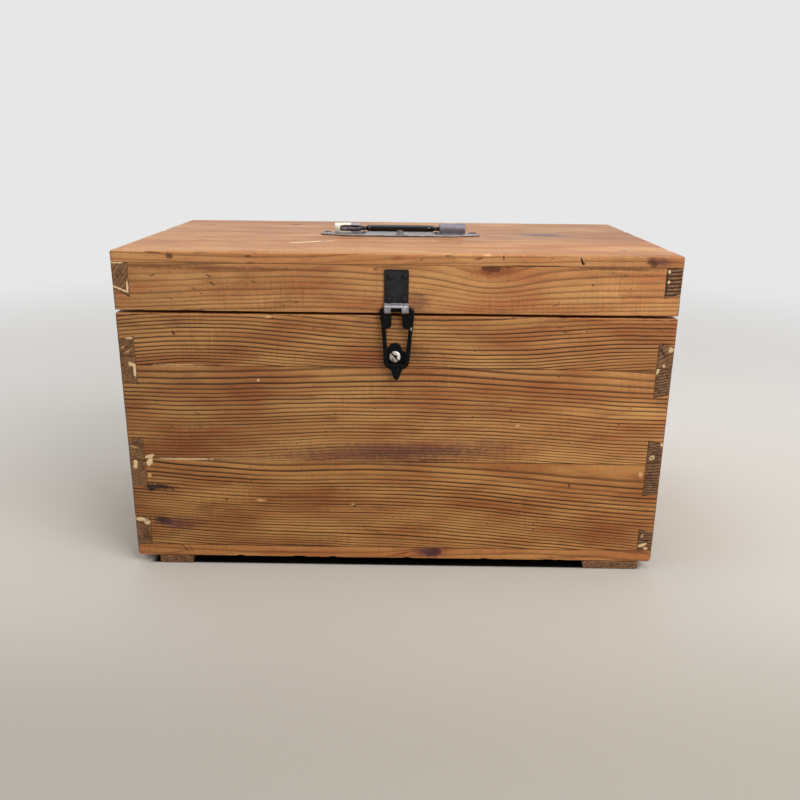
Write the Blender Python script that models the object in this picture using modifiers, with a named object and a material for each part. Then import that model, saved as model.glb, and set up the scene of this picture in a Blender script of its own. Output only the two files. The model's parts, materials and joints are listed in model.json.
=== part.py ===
"""Carpenter's toolbox: a dovetailed softwood chest with a deep hinged lid, a folding carrying
handle and a loop hasp. Metres, +Z up. The front faces -Y, and the origin is on the floor
under the centre of the box."""

import math
from collections import namedtuple

import bmesh
import bpy
from mathutils import Matrix, Vector

MM = 0.001
TAU = 2 * math.pi

# Overall size and stock
WIDTH = 500 * MM
DEPTH = 284 * MM
HEIGHT = 304 * MM
WALL = 14.5 * MM
GAP = 0.3 * MM  # glue line or clearance between neighbours that touch on the real object

# Levels from the floor up
RUNNER_TOP = 7.7 * MM
BOTTOM_LOW = RUNNER_TOP + GAP
BOTTOM_HIGH = 20.2 * MM
WALL_LOW = BOTTOM_HIGH + GAP
WALL_HIGH = 248.9 * MM
LID_LOW = 251.1 * MM
RAIL_HIGH = 293.5 * MM
LID_BOARD_LOW = RAIL_HIGH + GAP

# Edge joints between the boards of each wall
FRONT_SEAMS = (109.8 * MM, 201.0 * MM)
SIDE_SEAMS = {"left": (108.0 * MM, 209.0 * MM), "right": (112.5 * MM, 203.0 * MM)}
LID_SEAMS = (-39 * MM, 52 * MM)
BOTTOM_SEAMS = (-47 * MM, 48 * MM)

# Dovetails: low and high cheek of each pin, at the middle of the wall's thickness
PINS = {
    "left": ((0, 48.9 * MM), (81.7 * MM, 129.5 * MM), (184.0 * MM, 226.0 * MM)),
    "right": ((0, 40.8 * MM), (79.5 * MM, 132.2 * MM), (177.0 * MM, 224.6 * MM)),
}
PIN_SLOPE = 0.2
LID_PIN_LOW = {"left": 266.8 * MM, "right": 269.2 * MM}
LID_PIN_SLOPE = {"left": 0.5, "right": 0.3}
RUNNER_X = {"left": (-229 * MM, -197 * MM), "right": (184 * MM, 238 * MM)}

# Hinges: two butt hinges between the edges, with their knuckles behind the back wall
HINGE_X = 155 * MM
HINGE_LENGTH = 50 * MM
HINGE_LEAF_DEPTH = 13 * MM
HINGE_LEAF = 1.2 * MM
HINGE_KNUCKLE_R = 3.0 * MM
HINGE_AXIS_OUT = 3.4 * MM
HINGE_BORE_R = 1.8 * MM
HINGE_PIN_R = 1.65 * MM
HINGE_KNUCKLES = 5
HINGE_SCREW_PITCH = 17 * MM
HINGE_SCREW_SLOTS = (20, 70, 120)  # how each screw's slot is turned, in degrees
HINGE_LEAF_START = 0.2 * MM  # from the middle of the gap to a leaf
HINGE_SEAT_START = 1.7 * MM  # from the middle of the gap to the bottom of a leaf's recess
HINGE_SINK_R = 2.8 * MM
HINGE_Y = DEPTH / 2 + HINGE_AXIS_OUT
HINGE_Z = (WALL_HIGH + LID_LOW) / 2

# Carrying handle on the lid
HANDLE_X = 1.5 * MM
HANDLE_AXIS_UP = 6.6 * MM
HANDLE_PLATE = 1.5 * MM
HANDLE_PLATE_HALF = 82 * MM
HANDLE_PLATE_HALF_WIDTH = 17 * MM
HANDLE_EAR_R = 7.5 * MM
CLIP_R = 5.5 * MM
CLIP_WALL = 1.5 * MM
CLIP_WRAP = 330  # degrees of roll
CLIP_INNER = 40.5 * MM
CLIP_OUTER = 67 * MM
CLIP_GAP_X = (-63 * MM, -49.5 * MM)  # the left clip's torn opening: along the clip, and upwards
CLIP_GAP_Z = (3.4 * MM, 9 * MM)
CLIP_GAP_Y = -2 * MM
HANDLE_NAIL_OUT = 11 * MM
ROD_R = 2.3 * MM
ROD_END = 62.5 * MM
ROD_BEND = 4.5 * MM
BAIL_HALF = 38 * MM
GRIP_R = 3.4 * MM
GRIP_HALF = 33 * MM
GRIP_REACH = 29 * MM
GRIP_DROP = math.asin(2.8 * MM / GRIP_REACH)

# Hasp on the front of the lid, and its catch on the box
HASP_X = 0.3 * MM
HASP_PLATE = 1.5 * MM
HASP_HALF_WIDTH = 10.75 * MM
HASP_HIGH = 290 * MM
CURL_R = 4.25 * MM
CURL_Z = 255.7 * MM
CURL_OUT = GAP + CURL_R
CURL_WRAP = 325
CURL_NOTCH_HALF = 4.5 * MM
CURL_NOTCH_LOW = 0.8 * MM  # below the roll's middle
HASP_NAILS = {
    "top_left": (-5.6 * MM, 283.6 * MM),
    "top_right": (7.2 * MM, 284.2 * MM),
    "low_left": (-6.4 * MM, 263.6 * MM),
    "low_right": (7.0 * MM, 263.9 * MM),
}
LOOP_X = 0.9 * MM
LOOP_R = 1.9 * MM
LOOP_TOP_HALF = 13.6 * MM
LOOP_LOW_HALF = 9.2 * MM
LOOP_LOW = 204.2 * MM
LOOP_TOP_BEND = 3.2 * MM
LOOP_LOW_BEND = 4 * MM
LOOP_LEG = ((13.6 * MM, -10 * MM), (9.4 * MM, -36 * MM))  # where each leg starts and ends
LUG_CORNERS = ((4.6 * MM, -6.4 * MM), (13 * MM, -6 * MM), (13 * MM, -15 * MM), (9 * MM, -17.5 * MM))
LUG_ROUND = ((7.6 * MM, -13.8 * MM), 3 * MM)
LUG_THICK = 2.8 * MM
TAB_THICK = 2.4 * MM
TAB_TOP = ((8.2 * MM, 0.6 * MM), (7.6 * MM, -1.2 * MM), (5.2 * MM, -3.2 * MM))
TAB_POINT = ((4.1 * MM, -6 * MM), (2.8 * MM, -10 * MM), (1.2 * MM, -13.2 * MM))
CATCH_X = -0.7 * MM
CATCH_Z = 212 * MM
CATCH_PLATE = 1.2 * MM
CATCH_RISE = 0.6 * MM
CATCH_TIP = 12.6 * MM
CATCH_CROWN = ((0, 6.4 * MM), 6.2 * MM)
CATCH_FOOT = ((8.3 * MM, 1.5 * MM), (8.3 * MM, -5.5 * MM), (6.0 * MM, -8.4 * MM), (0, -9.2 * MM))
CATCH_BOSS_R = 6.2 * MM
CATCH_SLOT = -50

# Nails and screws, with the hole that each one is driven into
Fastener = namedtuple("Fastener", "head_r head_h shank_r length hole_r")
HINGE_SCREW = Fastener(2.5 * MM, 1.1 * MM, 1.2 * MM, 12 * MM, 1.5 * MM)
HANDLE_NAIL = Fastener(4.0 * MM, 2.0 * MM, 1.3 * MM, 9.5 * MM, 1.6 * MM)
HASP_NAIL = Fastener(2.3 * MM, 1.0 * MM, 1.0 * MM, 11 * MM, 1.3 * MM)
CATCH_SCREW = Fastener(5.2 * MM, 1.3 * MM, 1.8 * MM, 12 * MM, 2.1 * MM)
HEAD_REST = 0.1 * MM  # between a head and its plate

ON_LID = ("lid_", "handle_", "hasp_")  # how the names of the pieces fixed to the lid begin
OUT_OF_FRONT = Matrix.Rotation(math.radians(90), 4, "X")  # +Z of a fitting turned to -Y

# Base colours, roughness and metalness
FINISHES = {
    "pine": ((0.47, 0.235, 0.095), 0.55, 0.0),
    "pine_lid": ((0.50, 0.265, 0.115), 0.52, 0.0),
    "pine_bottom": ((0.46, 0.22, 0.075), 0.6, 0.0),
    "runner_wood": ((0.30, 0.20, 0.115), 0.75, 0.0),
    "black_steel": ((0.03, 0.032, 0.03), 0.5, 0.6),
    "handle_steel": ((0.36, 0.35, 0.36), 0.42, 0.85),
    "handle_black": ((0.02, 0.02, 0.025), 0.32, 0.0),
    "bright_steel": ((0.62, 0.60, 0.56), 0.33, 0.9),
    "hinge_steel": ((0.16, 0.15, 0.14), 0.5, 0.8),
}


# ---------------------------------------------------------------- building blocks


def clear_scene():
    for obj in list(bpy.data.objects):
        bpy.data.objects.remove(obj)


def make_collection(name):
    collection = bpy.data.collections.new(name)
    bpy.context.scene.collection.children.link(collection)
    return collection


def make_material(name, finish):
    colour, roughness, metallic = FINISHES[finish]
    material = bpy.data.materials.new(name)
    material.use_nodes = True
    shader = material.node_tree.nodes["Principled BSDF"]
    shader.inputs["Base Color"].default_value = (*colour, 1)
    shader.inputs["Roughness"].default_value = roughness
    shader.inputs["Metallic"].default_value = metallic
    return material


def add_object(name, data, finish=None, collection=None):
    """Links data as a named part, or as a hidden cutter when it has no finish."""
    obj = bpy.data.objects.new(name, data)
    (collection or (TOOLBOX if finish else CUTTERS)).objects.link(obj)
    if finish:
        data.materials.append(make_material(name, finish))
    else:
        obj.hide_render = True
        obj.display_type = "WIRE"
    return obj


def box_mesh(name, low, high):
    """A box primitive between two opposite corners."""
    low, high = Vector(low), Vector(high)
    mesh = bpy.data.meshes.new(name)
    bm = bmesh.new()
    bmesh.ops.create_cube(bm, size=1)
    bm.transform(Matrix.Translation((low + high) / 2) @ Matrix.Diagonal((*(high - low), 1)))
    bm.to_mesh(mesh)
    bm.free()
    return mesh


def cylinder_mesh(name, radius, length, segments):
    """A capped cylinder along Z, centred on the origin."""
    mesh = bpy.data.meshes.new(name)
    bm = bmesh.new()
    bmesh.ops.create_cone(
        bm,
        cap_ends=True,
        segments=segments,
        radius1=radius,
        radius2=radius,
        depth=length,
    )
    bm.to_mesh(mesh)
    bm.free()
    return mesh


def boolean(obj, operation, other):
    modifier = obj.modifiers.new(operation.title(), "BOOLEAN")
    modifier.operation = operation
    modifier.solver = "EXACT"
    if isinstance(other, bpy.types.Collection):
        modifier.operand_type = "COLLECTION"
        modifier.collection = other
    else:
        modifier.object = other
    return modifier


def turned(name, profile, steps, finish=None):
    """A solid of revolution about Z from (radius, height) points, top to bottom."""
    mesh = bpy.data.meshes.new(name)
    points = [(radius, 0, height) for radius, height in profile]
    mesh.from_pydata(points, [(i, i + 1) for i in range(len(points) - 1)], [])
    obj = add_object(name, mesh, finish)
    screw = obj.modifiers.new("Turn", "SCREW")
    screw.steps = steps
    screw.render_steps = steps
    screw.use_merge_vertices = True
    screw.merge_threshold = 0.00001
    screw.use_smooth_shade = True
    return obj


def outline_curve(name, points, thickness):
    """A flat outline in XY, extruded evenly about Z = 0."""
    curve = bpy.data.curves.new(name, "CURVE")
    curve.dimensions = "2D"
    curve.fill_mode = "BOTH"
    curve.extrude = thickness / 2
    spline = curve.splines.new("POLY")
    spline.points.add(len(points) - 1)
    for point, (x, y) in zip(spline.points, points):
        point.co = (x, y, 0, 1)
    spline.use_cyclic_u = True
    return curve


def tube_curve(name, points, radius, sides):
    """A round bar along the points, with filled ends."""
    curve = bpy.data.curves.new(name, "CURVE")
    curve.dimensions = "3D"
    curve.bevel_depth = radius
    curve.bevel_resolution = sides
    curve.use_fill_caps = True
    spline = curve.splines.new("POLY")
    spline.points.add(len(points) - 1)
    for point, place in zip(spline.points, points):
        point.co = (*place, 1)
    return curve


def as_mesh(obj):
    """The curve object turned into a mesh object of the same name, with its caps welded."""
    bpy.context.view_layer.update()
    graph = bpy.context.evaluated_depsgraph_get()
    mesh = bpy.data.meshes.new_from_object(obj.evaluated_get(graph))
    bm = bmesh.new()
    bm.from_mesh(mesh)
    bmesh.ops.remove_doubles(bm, verts=bm.verts, dist=0.000005)
    bmesh.ops.recalc_face_normals(bm, faces=bm.faces)
    bm.to_mesh(mesh)
    bm.free()
    made = bpy.data.objects.new("made", mesh)
    for collection in obj.users_collection:
        collection.objects.link(made)
    made.matrix_world = obj.matrix_world
    made.hide_render = obj.hide_render
    made.display_type = obj.display_type
    name = obj.name
    bpy.data.objects.remove(obj)
    made.name = name
    return made


def arc(centre, radius, start, end, steps):
    """Points on an arc, in degrees anticlockwise from +X."""
    angles = [math.radians(start + (end - start) * i / steps) for i in range(steps + 1)]
    return [(centre[0] + radius * math.cos(a), centre[1] + radius * math.sin(a)) for a in angles]


def pivot_empty(name, matrix):
    """An empty on a joint's axis, which carries the pieces that turn about it."""
    empty = bpy.data.objects.new(name, None)
    TOOLBOX.objects.link(empty)
    empty.matrix_world = matrix
    return empty


def hang(pivot, parts):
    """Parents parts to a pivot's empty where they stand, and their cutters with them."""
    cutters = []
    for part in parts:
        for modifier in part.modifiers:
            if modifier.type == "BOOLEAN" and modifier.operand_type == "COLLECTION":
                cutters += modifier.collection.objects
            elif modifier.type == "BOOLEAN":
                cutters.append(modifier.object)
    for obj in set(parts + cutters):
        obj.parent = pivot
        obj.matrix_parent_inverse = pivot.matrix_world.inverted()


# ---------------------------------------------------------------- wooden case


def cheek(level, slope, widens):
    """Height of a pin's cheek as a function of x: each pin is wider towards the inside."""
    middle = WIDTH / 2 - WALL / 2

    def height(x):
        return level + widens * slope * (middle - abs(x))

    return height


def wedge(name, collection, x_range, y_range, low, high):
    """A hidden prism along Y whose lower and upper faces follow low(x) and high(x)."""
    mesh = box_mesh(name, (x_range[0], y_range[0], 0), (x_range[1], y_range[1], 1))
    for vertex in mesh.vertices:
        level = low if vertex.co.z < 0.5 else high
        vertex.co.z = level(vertex.co.x)
    return add_object(name, mesh, collection=collection)


def pin_cheeks(side):
    """(low(x), high(x)) of each pin of the box, then of the lid's single pin."""
    box = [
        (cheek(low, PIN_SLOPE, -1) if low else None, cheek(high, PIN_SLOPE, 1))
        for low, high in PINS[side]
    ]
    lid = (cheek(LID_PIN_LOW[side], LID_PIN_SLOPE[side], -1), None)
    return box, lid


def cut_joints():
    """Cutters for the sockets in front and back boards, and for the spaces between side pins."""
    reach = 5 * MM
    sockets = {where: bpy.data.collections.new(f"{where}_sockets") for where in ("box", "lid")}
    spaces = {}
    for collection in sockets.values():
        CUTTERS.children.link(collection)
    for side, sign in (("left", -1), ("right", 1)):
        outer = sign * (WIDTH / 2 + reach)
        socket_x = sorted((outer, sign * (WIDTH / 2 - WALL - GAP)))
        space_x = sorted((outer, sign * (WIDTH / 2 - WALL - reach)))
        box_pins, lid_pin = pin_cheeks(side)
        below, above = (lambda x: WALL_LOW - reach), (lambda x: RAIL_HIGH + reach)
        through = (-DEPTH / 2 - reach, DEPTH / 2 + reach)
        for where, pins in (("box", box_pins), ("lid", [lid_pin])):
            for i, (low, high) in enumerate(pins):
                wedge(
                    f"{where}_{side}_socket_{i}",
                    sockets[where],
                    socket_x,
                    through,
                    (lambda x, f=low: f(x) - GAP) if low else below,
                    (lambda x, f=high: f(x) + GAP) if high else above,
                )
        tails = {
            "box": [
                (box_pins[0][1], box_pins[1][0]),
                (box_pins[1][1], box_pins[2][0]),
                (box_pins[2][1], lambda x: WALL_HIGH + reach),
            ],
            "lid": [(lambda x: LID_LOW - reach, lid_pin[0])],
        }
        for where, ranges in tails.items():
            spaces[where, side] = bpy.data.collections.new(f"{where}_{side}_spaces")
            CUTTERS.children.link(spaces[where, side])
            for end, y_range in (
                ("front", (-DEPTH / 2 - reach, -DEPTH / 2 + WALL + GAP)),
                ("back", (DEPTH / 2 - WALL - GAP, DEPTH / 2 + reach)),
            ):
                for i, (low, high) in enumerate(ranges):
                    name = f"{where}_{side}_{end}_space_{i}"
                    wedge(name, spaces[where, side], space_x, y_range, low, high)
    return sockets, spaces


def stacked(levels):
    """(low, high) of each board between its seams, with the glue line left open."""
    starts = [levels[0]] + [seam + GAP / 2 for seam in levels[1:-1]]
    ends = [seam - GAP / 2 for seam in levels[1:-1]] + [levels[-1]]
    return list(zip(starts, ends))


def board(name, low, high, finish):
    return add_object(name, box_mesh(name, low, high), finish)


def build_walls(sockets, spaces):
    names = ("lower", "middle", "upper")
    x, y = WIDTH / 2, DEPTH / 2
    long_walls = {"front": (-y, -y + WALL), "back": (y - WALL, y)}
    side_walls = {"left": (-x, -x + WALL), "right": (x - WALL, x)}
    boards = {}
    for wall, (near, far) in long_walls.items():
        for label, (low, high) in zip(names, stacked((WALL_LOW, *FRONT_SEAMS, WALL_HIGH))):
            made = board(f"{wall}_board_{label}", (-x, near, low), (x, far, high), "pine")
            boolean(made, "DIFFERENCE", sockets["box"])
            boards[made.name] = made
    for wall, (near, far) in side_walls.items():
        for label, (low, high) in zip(names, stacked((WALL_LOW, *SIDE_SEAMS[wall], WALL_HIGH))):
            made = board(f"{wall}_board_{label}", (near, -y, low), (far, y, high), "pine")
            boolean(made, "DIFFERENCE", spaces["box", wall])
            boards[made.name] = made
    return boards


def build_bottom():
    x, y = WIDTH / 2, DEPTH / 2
    for label, (near, far) in zip(("front", "middle", "rear"), stacked((-y, *BOTTOM_SEAMS, y))):
        board(f"bottom_board_{label}", (-x, near, BOTTOM_LOW), (x, far, BOTTOM_HIGH), "pine_bottom")
    for side, (left, right) in RUNNER_X.items():
        board(f"runner_{side}", (left, -y, 0), (right, y, RUNNER_TOP), "runner_wood")


def build_lid(sockets, spaces):
    x, y = WIDTH / 2, DEPTH / 2
    boards = {}
    for wall, near in (("front", -y), ("back", y - WALL)):
        name = f"lid_rail_{wall}"
        boards[name] = board(name, (-x, near, LID_LOW), (x, near + WALL, RAIL_HIGH), "pine_lid")
        boolean(boards[name], "DIFFERENCE", sockets["lid"])
    for side, near in (("left", -x), ("right", x - WALL)):
        name = f"lid_rail_{side}"
        boards[name] = board(name, (near, -y, LID_LOW), (near + WALL, y, RAIL_HIGH), "pine_lid")
        boolean(boards[name], "DIFFERENCE", spaces["lid", side])
    for label, (near, far) in zip(("front", "middle", "rear"), stacked((-y, *LID_SEAMS, y))):
        name = f"lid_board_{label}"
        boards[name] = board(name, (-x, near, LID_BOARD_LOW), (x, far, HEIGHT), "pine_lid")
    return boards


# ---------------------------------------------------------------- fasteners


def pilot_hole(name, place, kind, *targets):
    """A hole for a shank whose mouth is at place, cut along place's -Z through each target."""
    above, depth = 5 * MM, kind.length + GAP
    cutter = add_object(name + "_hole", cylinder_mesh(name, kind.hole_r, depth + above, 8))
    cutter.matrix_world = place @ Matrix.Translation((0, 0, (above - depth) / 2))
    for target in targets:
        boolean(target, "DIFFERENCE", cutter)


def fastener(name, place, kind, under, finish, slot=None):
    """A round-headed nail or screw. place is on the wood, with +Z out of it, and the head
    starts at height under, where it bears on its plate."""
    head_r, head_h, shank_r = kind.head_r, kind.head_h, kind.shank_r
    rim = 0.3 * head_h
    profile = [(0, under + head_h)]
    for angle in (TAU / 16, TAU / 8, TAU / 5.2):
        height = under + rim + (head_h - rim) * math.cos(angle)
        profile.append((head_r * math.sin(angle), height))
    profile += [(head_r, under + rim * 0.5), (head_r, under), (shank_r, under)]
    profile += [(shank_r, shank_r - kind.length), (0, -kind.length)]
    made = turned(name, profile, 12, finish)
    made.matrix_world = place
    if slot is not None:
        width, deep = 0.36 * head_r, 0.55 * head_h
        blade = add_object(
            name + "_slot",
            box_mesh(
                name + "_slot",
                (-2 * head_r, -width / 2, under + head_h - deep),
                (2 * head_r, width / 2, under + head_h * 2),
            ),
        )
        blade.matrix_world = place @ Matrix.Rotation(math.radians(slot), 4, "Z")
        boolean(made, "DIFFERENCE", blade)
    return made


# ---------------------------------------------------------------- hinges


def hinge_leaf(name, side_of_gap, centre_x, wood):
    """One leaf with its knuckles. side_of_gap is -1 for the box's leaf and 1 for the lid's."""
    pitch = HINGE_LENGTH / HINGE_KNUCKLES
    left = centre_x - HINGE_LENGTH / 2
    owned = range(0, HINGE_KNUCKLES, 2) if side_of_gap < 0 else range(1, HINGE_KNUCKLES, 2)
    ends = (HINGE_LEAF_START, HINGE_LEAF_START + HINGE_LEAF)
    low, high = sorted(HINGE_Z + side_of_gap * end for end in ends)
    inner = DEPTH / 2 - HINGE_LEAF_DEPTH
    leaf = board(name, (left, inner, low), (left + HINGE_LENGTH, DEPTH / 2 - 0.1 * MM, high), "hinge_steel")
    for i in owned:
        start, end = left + i * pitch + GAP / 2, left + (i + 1) * pitch - GAP / 2
        barrel = add_object(f"{name}_barrel_{i}", cylinder_mesh(name, HINGE_KNUCKLE_R, end - start, 20))
        turn = Matrix.Rotation(math.radians(90), 4, "Y")
        barrel.matrix_world = Matrix.Translation(((start + end) / 2, HINGE_Y, HINGE_Z)) @ turn
        strap = add_object(
            f"{name}_strap_{i}",
            box_mesh(name, (start, DEPTH / 2 - 2 * MM, low), (end, HINGE_Y - HINGE_BORE_R, high)),
        )
        boolean(leaf, "UNION", strap)
        boolean(leaf, "UNION", barrel)
    bore = add_object(name + "_bore", cylinder_mesh(name, HINGE_BORE_R, HINGE_LENGTH * 1.2, 20))
    bore.matrix_world = Matrix.Translation((centre_x, HINGE_Y, HINGE_Z)) @ Matrix.Rotation(
        math.radians(90), 4, "Y"
    )
    boolean(leaf, "DIFFERENCE", bore)
    seat = add_object(
        name + "_seat",
        box_mesh(
            name,
            (left - GAP, inner - GAP, HINGE_Z - HINGE_SEAT_START),
            (left + HINGE_LENGTH + GAP, DEPTH / 2 + 5 * MM, HINGE_Z + HINGE_SEAT_START),
        ),
    )
    boolean(wood, "DIFFERENCE", seat)
    return leaf


def build_hinge(side, centre_x, box_wood, lid_wood):
    for body, side_of_gap, wood in (("box", -1, box_wood), ("lid", 1, lid_wood)):
        name = f"hinge_{side}_{body}_leaf"
        leaf = hinge_leaf(name, side_of_gap, centre_x, wood)
        for i, slot in enumerate(HINGE_SCREW_SLOTS):
            x = centre_x + (i - 1) * HINGE_SCREW_PITCH
            y = DEPTH / 2 - HINGE_LEAF_DEPTH / 2
            face = HINGE_Z + side_of_gap * HINGE_SEAT_START
            out_of_wood = Matrix.Rotation(0 if side_of_gap < 0 else math.pi, 4, "X")
            place = Matrix.Translation((x, y, face)) @ out_of_wood
            screw = f"hinge_{side}_{body}_screw_{i + 1}"
            fastener(screw, place, HINGE_SCREW, 0.35 * MM, "bright_steel", slot)
            pilot_hole(screw, place, HINGE_SCREW, wood)
            sink = add_object(screw + "_sink", cylinder_mesh(screw, HINGE_SINK_R, 6 * MM, 16))
            sink.matrix_world = place
            boolean(leaf, "DIFFERENCE", sink)
    rod = cylinder_mesh("hinge_pin", HINGE_PIN_R, HINGE_LENGTH + 2 * MM, 20)
    pin = add_object(f"hinge_{side}_pin", rod, "bright_steel")
    pin.matrix_world = Matrix.Translation((centre_x, HINGE_Y, HINGE_Z)) @ Matrix.Rotation(
        math.radians(90), 4, "Y"
    )


# ---------------------------------------------------------------- carrying handle


def rolled_strip(name, radius, wall, wrap, length, steps=22):
    """A strip rolled to a tube that leaves a plate at its bottom: an outline in XY, extruded
    along Z. wrap is how far round it is rolled, in degrees."""
    start = -90
    outer = arc((0, 0), radius, start, start + wrap, steps)
    inner = arc((0, 0), radius - wall, start, start + wrap, steps)
    return outline_curve(name, outer + inner[::-1], length)


def build_handle_plate(lid_board):
    """A pressed plate with pointed ears and two tabs rolled up into clips for the bail."""
    half, width, ear = HANDLE_PLATE_HALF, HANDLE_PLATE_HALF_WIDTH, HANDLE_EAR_R
    shoulder = half - 2.9 * ear
    right_end = [(shoulder - 4 * MM, -width), (shoulder, -width + 2 * MM)]
    right_end += arc((half - ear, 0), ear, -70, 70, 8)
    right_end += [(shoulder, width - 2 * MM), (shoulder - 4 * MM, width)]
    outline = right_end + [(-x, -y) for x, y in right_end]
    plate = add_object("handle_plate", outline_curve("handle_plate", outline, HANDLE_PLATE), "handle_steel")
    plate.location = (HANDLE_X, 0, HEIGHT + GAP + HANDLE_PLATE / 2)
    plate = as_mesh(plate)
    along_x = Matrix.Rotation(math.radians(90), 4, "Z") @ Matrix.Rotation(math.radians(90), 4, "X")
    for side, sign in (("left", -1), ("right", 1)):
        roll = rolled_strip(f"clip_{side}", CLIP_R, CLIP_WALL, CLIP_WRAP, CLIP_OUTER - CLIP_INNER)
        clip = add_object(f"handle_clip_{side}", roll)
        middle = HANDLE_X + sign * (CLIP_INNER + CLIP_OUTER) / 2
        clip.matrix_world = Matrix.Translation((middle, 0, HEIGHT + HANDLE_AXIS_UP)) @ along_x
        boolean(plate, "UNION", as_mesh(clip))
    torn = add_object(
        "handle_clip_gap",
        box_mesh(
            "clip_gap",
            (HANDLE_X + CLIP_GAP_X[0], -2 * CLIP_R, HEIGHT + CLIP_GAP_Z[0]),
            (HANDLE_X + CLIP_GAP_X[1], CLIP_GAP_Y, HEIGHT + CLIP_GAP_Z[1]),
        ),
    )
    boolean(plate, "DIFFERENCE", torn)
    for label, x, y in (
        ("left", HANDLE_X - half + ear, 0),
        ("right", HANDLE_X + half - ear, 0),
        ("front", HANDLE_X, -HANDLE_NAIL_OUT),
        ("rear", HANDLE_X, HANDLE_NAIL_OUT),
    ):
        name = f"handle_nail_{label}"
        place = Matrix.Translation((x, y, HEIGHT))
        fastener(name, place, HANDLE_NAIL, GAP + HANDLE_PLATE + HEAD_REST, "handle_steel")
        pilot_hole(name, place, HANDLE_NAIL, lid_board, plate)


def bail_path():
    """The bail's centreline in its own plane: x along the lid, y away from the pivot."""
    bend = ROD_BEND
    half = [(ROD_END, 0)]
    half += arc((BAIL_HALF + bend, bend), bend, 270, 180, 5)
    half += arc((BAIL_HALF - bend, GRIP_REACH - bend), bend, 0, 90, 5)
    return half + [(-x, y) for x, y in half[::-1]]


def build_handle_bail():
    """The bail folded back onto the lid, with its origin on the pivot's axis."""
    axis = Matrix.Translation((HANDLE_X, 0, HEIGHT + HANDLE_AXIS_UP)) @ Matrix.Rotation(-GRIP_DROP, 4, "X")
    pivot = pivot_empty("handle_pivot", axis)
    path = [(x, y, 0) for x, y in bail_path()]
    rod = add_object("handle_rod", tube_curve("handle_rod", path, ROD_R, 2), "handle_black")
    grip = add_object("handle_grip", cylinder_mesh("handle_grip", GRIP_R, 2 * GRIP_HALF, 20), "handle_black")
    bore = add_object("handle_grip_bore", cylinder_mesh("grip_bore", ROD_R + GAP, 3 * GRIP_HALF, 16))
    across = Matrix.Translation((0, GRIP_REACH, 0)) @ Matrix.Rotation(math.radians(90), 4, "Y")
    rod.matrix_world = axis
    grip.matrix_world = bore.matrix_world = axis @ across
    boolean(grip, "DIFFERENCE", bore)
    hang(pivot, [rod, grip])
    return pivot


# ---------------------------------------------------------------- hasp


def build_hasp_plate(rail):
    """A plate on the lid's front whose lower end is rolled round the loop's top bar."""
    front = -DEPTH / 2 - GAP
    plate = board(
        "hasp_plate",
        (HASP_X - HASP_HALF_WIDTH, front - HASP_PLATE, CURL_Z),
        (HASP_X + HASP_HALF_WIDTH, front, HASP_HIGH),
        "black_steel",
    )
    roll = rolled_strip("curl", CURL_R, HASP_PLATE, CURL_WRAP, 2 * HASP_HALF_WIDTH)
    curl = add_object("hasp_curl", roll)
    along_x = Matrix.Rotation(math.radians(90), 4, "Y") @ Matrix.Rotation(math.radians(180), 4, "Z")
    curl.matrix_world = Matrix.Translation((HASP_X, -DEPTH / 2 - CURL_OUT, CURL_Z)) @ along_x
    boolean(plate, "UNION", as_mesh(curl))
    notch = add_object(
        "hasp_notch",
        box_mesh(
            "hasp_notch",
            (HASP_X - CURL_NOTCH_HALF, front - 3 * CURL_R, CURL_Z - 2 * CURL_R),
            (HASP_X + CURL_NOTCH_HALF, front - HASP_PLATE - 0.4 * MM, CURL_Z - CURL_NOTCH_LOW),
        ),
    )
    boolean(plate, "DIFFERENCE", notch)
    for label, (x, z) in HASP_NAILS.items():
        name = f"hasp_nail_{label}"
        place = Matrix.Translation((x, -DEPTH / 2, z)) @ OUT_OF_FRONT
        fastener(name, place, HASP_NAIL, GAP + HASP_PLATE + HEAD_REST, "black_steel")
        pilot_hole(name, place, HASP_NAIL, rail, plate)


def loop_path():
    """Half of the loop's centreline, from the middle of the top bar to the middle of the
    bottom one: x, and height above the axis."""
    bend, turn, low = LOOP_TOP_BEND, LOOP_LOW_BEND, LOOP_LOW - CURL_Z
    half = [(0, 0)] + arc((LOOP_TOP_HALF - bend, -bend), bend, 90, 0, 5) + list(LOOP_LEG)
    half += arc((LOOP_LOW_HALF - turn, low + turn), turn, 0, -90, 5)
    return half + [(0, low)]


def mirrored(half):
    """A closed outline from the half of it with x above zero, listed from top to bottom."""
    return half + [(-x, y) for x, y in half[::-1] if x > 0]


def build_hasp_loop():
    """The loop hanging round the catch, with its origin on the curl's axis."""
    half = loop_path()
    path = half + [(-x, z) for x, z in half[-2:0:-1]]
    place = Matrix.Translation((LOOP_X, -DEPTH / 2 - CURL_OUT, CURL_Z))
    curve = tube_curve("hasp_loop", [(x, 0, z) for x, z in path], LOOP_R, 2)
    curve.splines[0].use_cyclic_u = True
    loop = add_object("hasp_loop", curve, "black_steel")
    loop.matrix_world = place
    loop = as_mesh(loop)
    upright = Matrix.Rotation(math.radians(90), 4, "X")
    outline = list(LUG_CORNERS) + arc(*LUG_ROUND, 250, 180, 4)
    for side, sign in (("left", -1), ("right", 1)):
        shoulder = outline_curve(f"shoulder_{side}", [(sign * x, z) for x, z in outline], LUG_THICK)
        lug = add_object(f"hasp_lug_{side}", shoulder)
        lug.matrix_world = place @ upright
        boolean(loop, "UNION", as_mesh(lug))
    tab = add_object("hasp_tab", outline_curve("tab", mirrored(list(TAB_TOP + TAB_POINT)), TAB_THICK))
    tab.matrix_world = place @ Matrix.Translation((0, 0, LOOP_LOW - CURL_Z)) @ upright
    boolean(loop, "UNION", as_mesh(tab))
    pivot = pivot_empty("hasp_pivot", place)
    hang(pivot, [loop])
    return pivot


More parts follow.
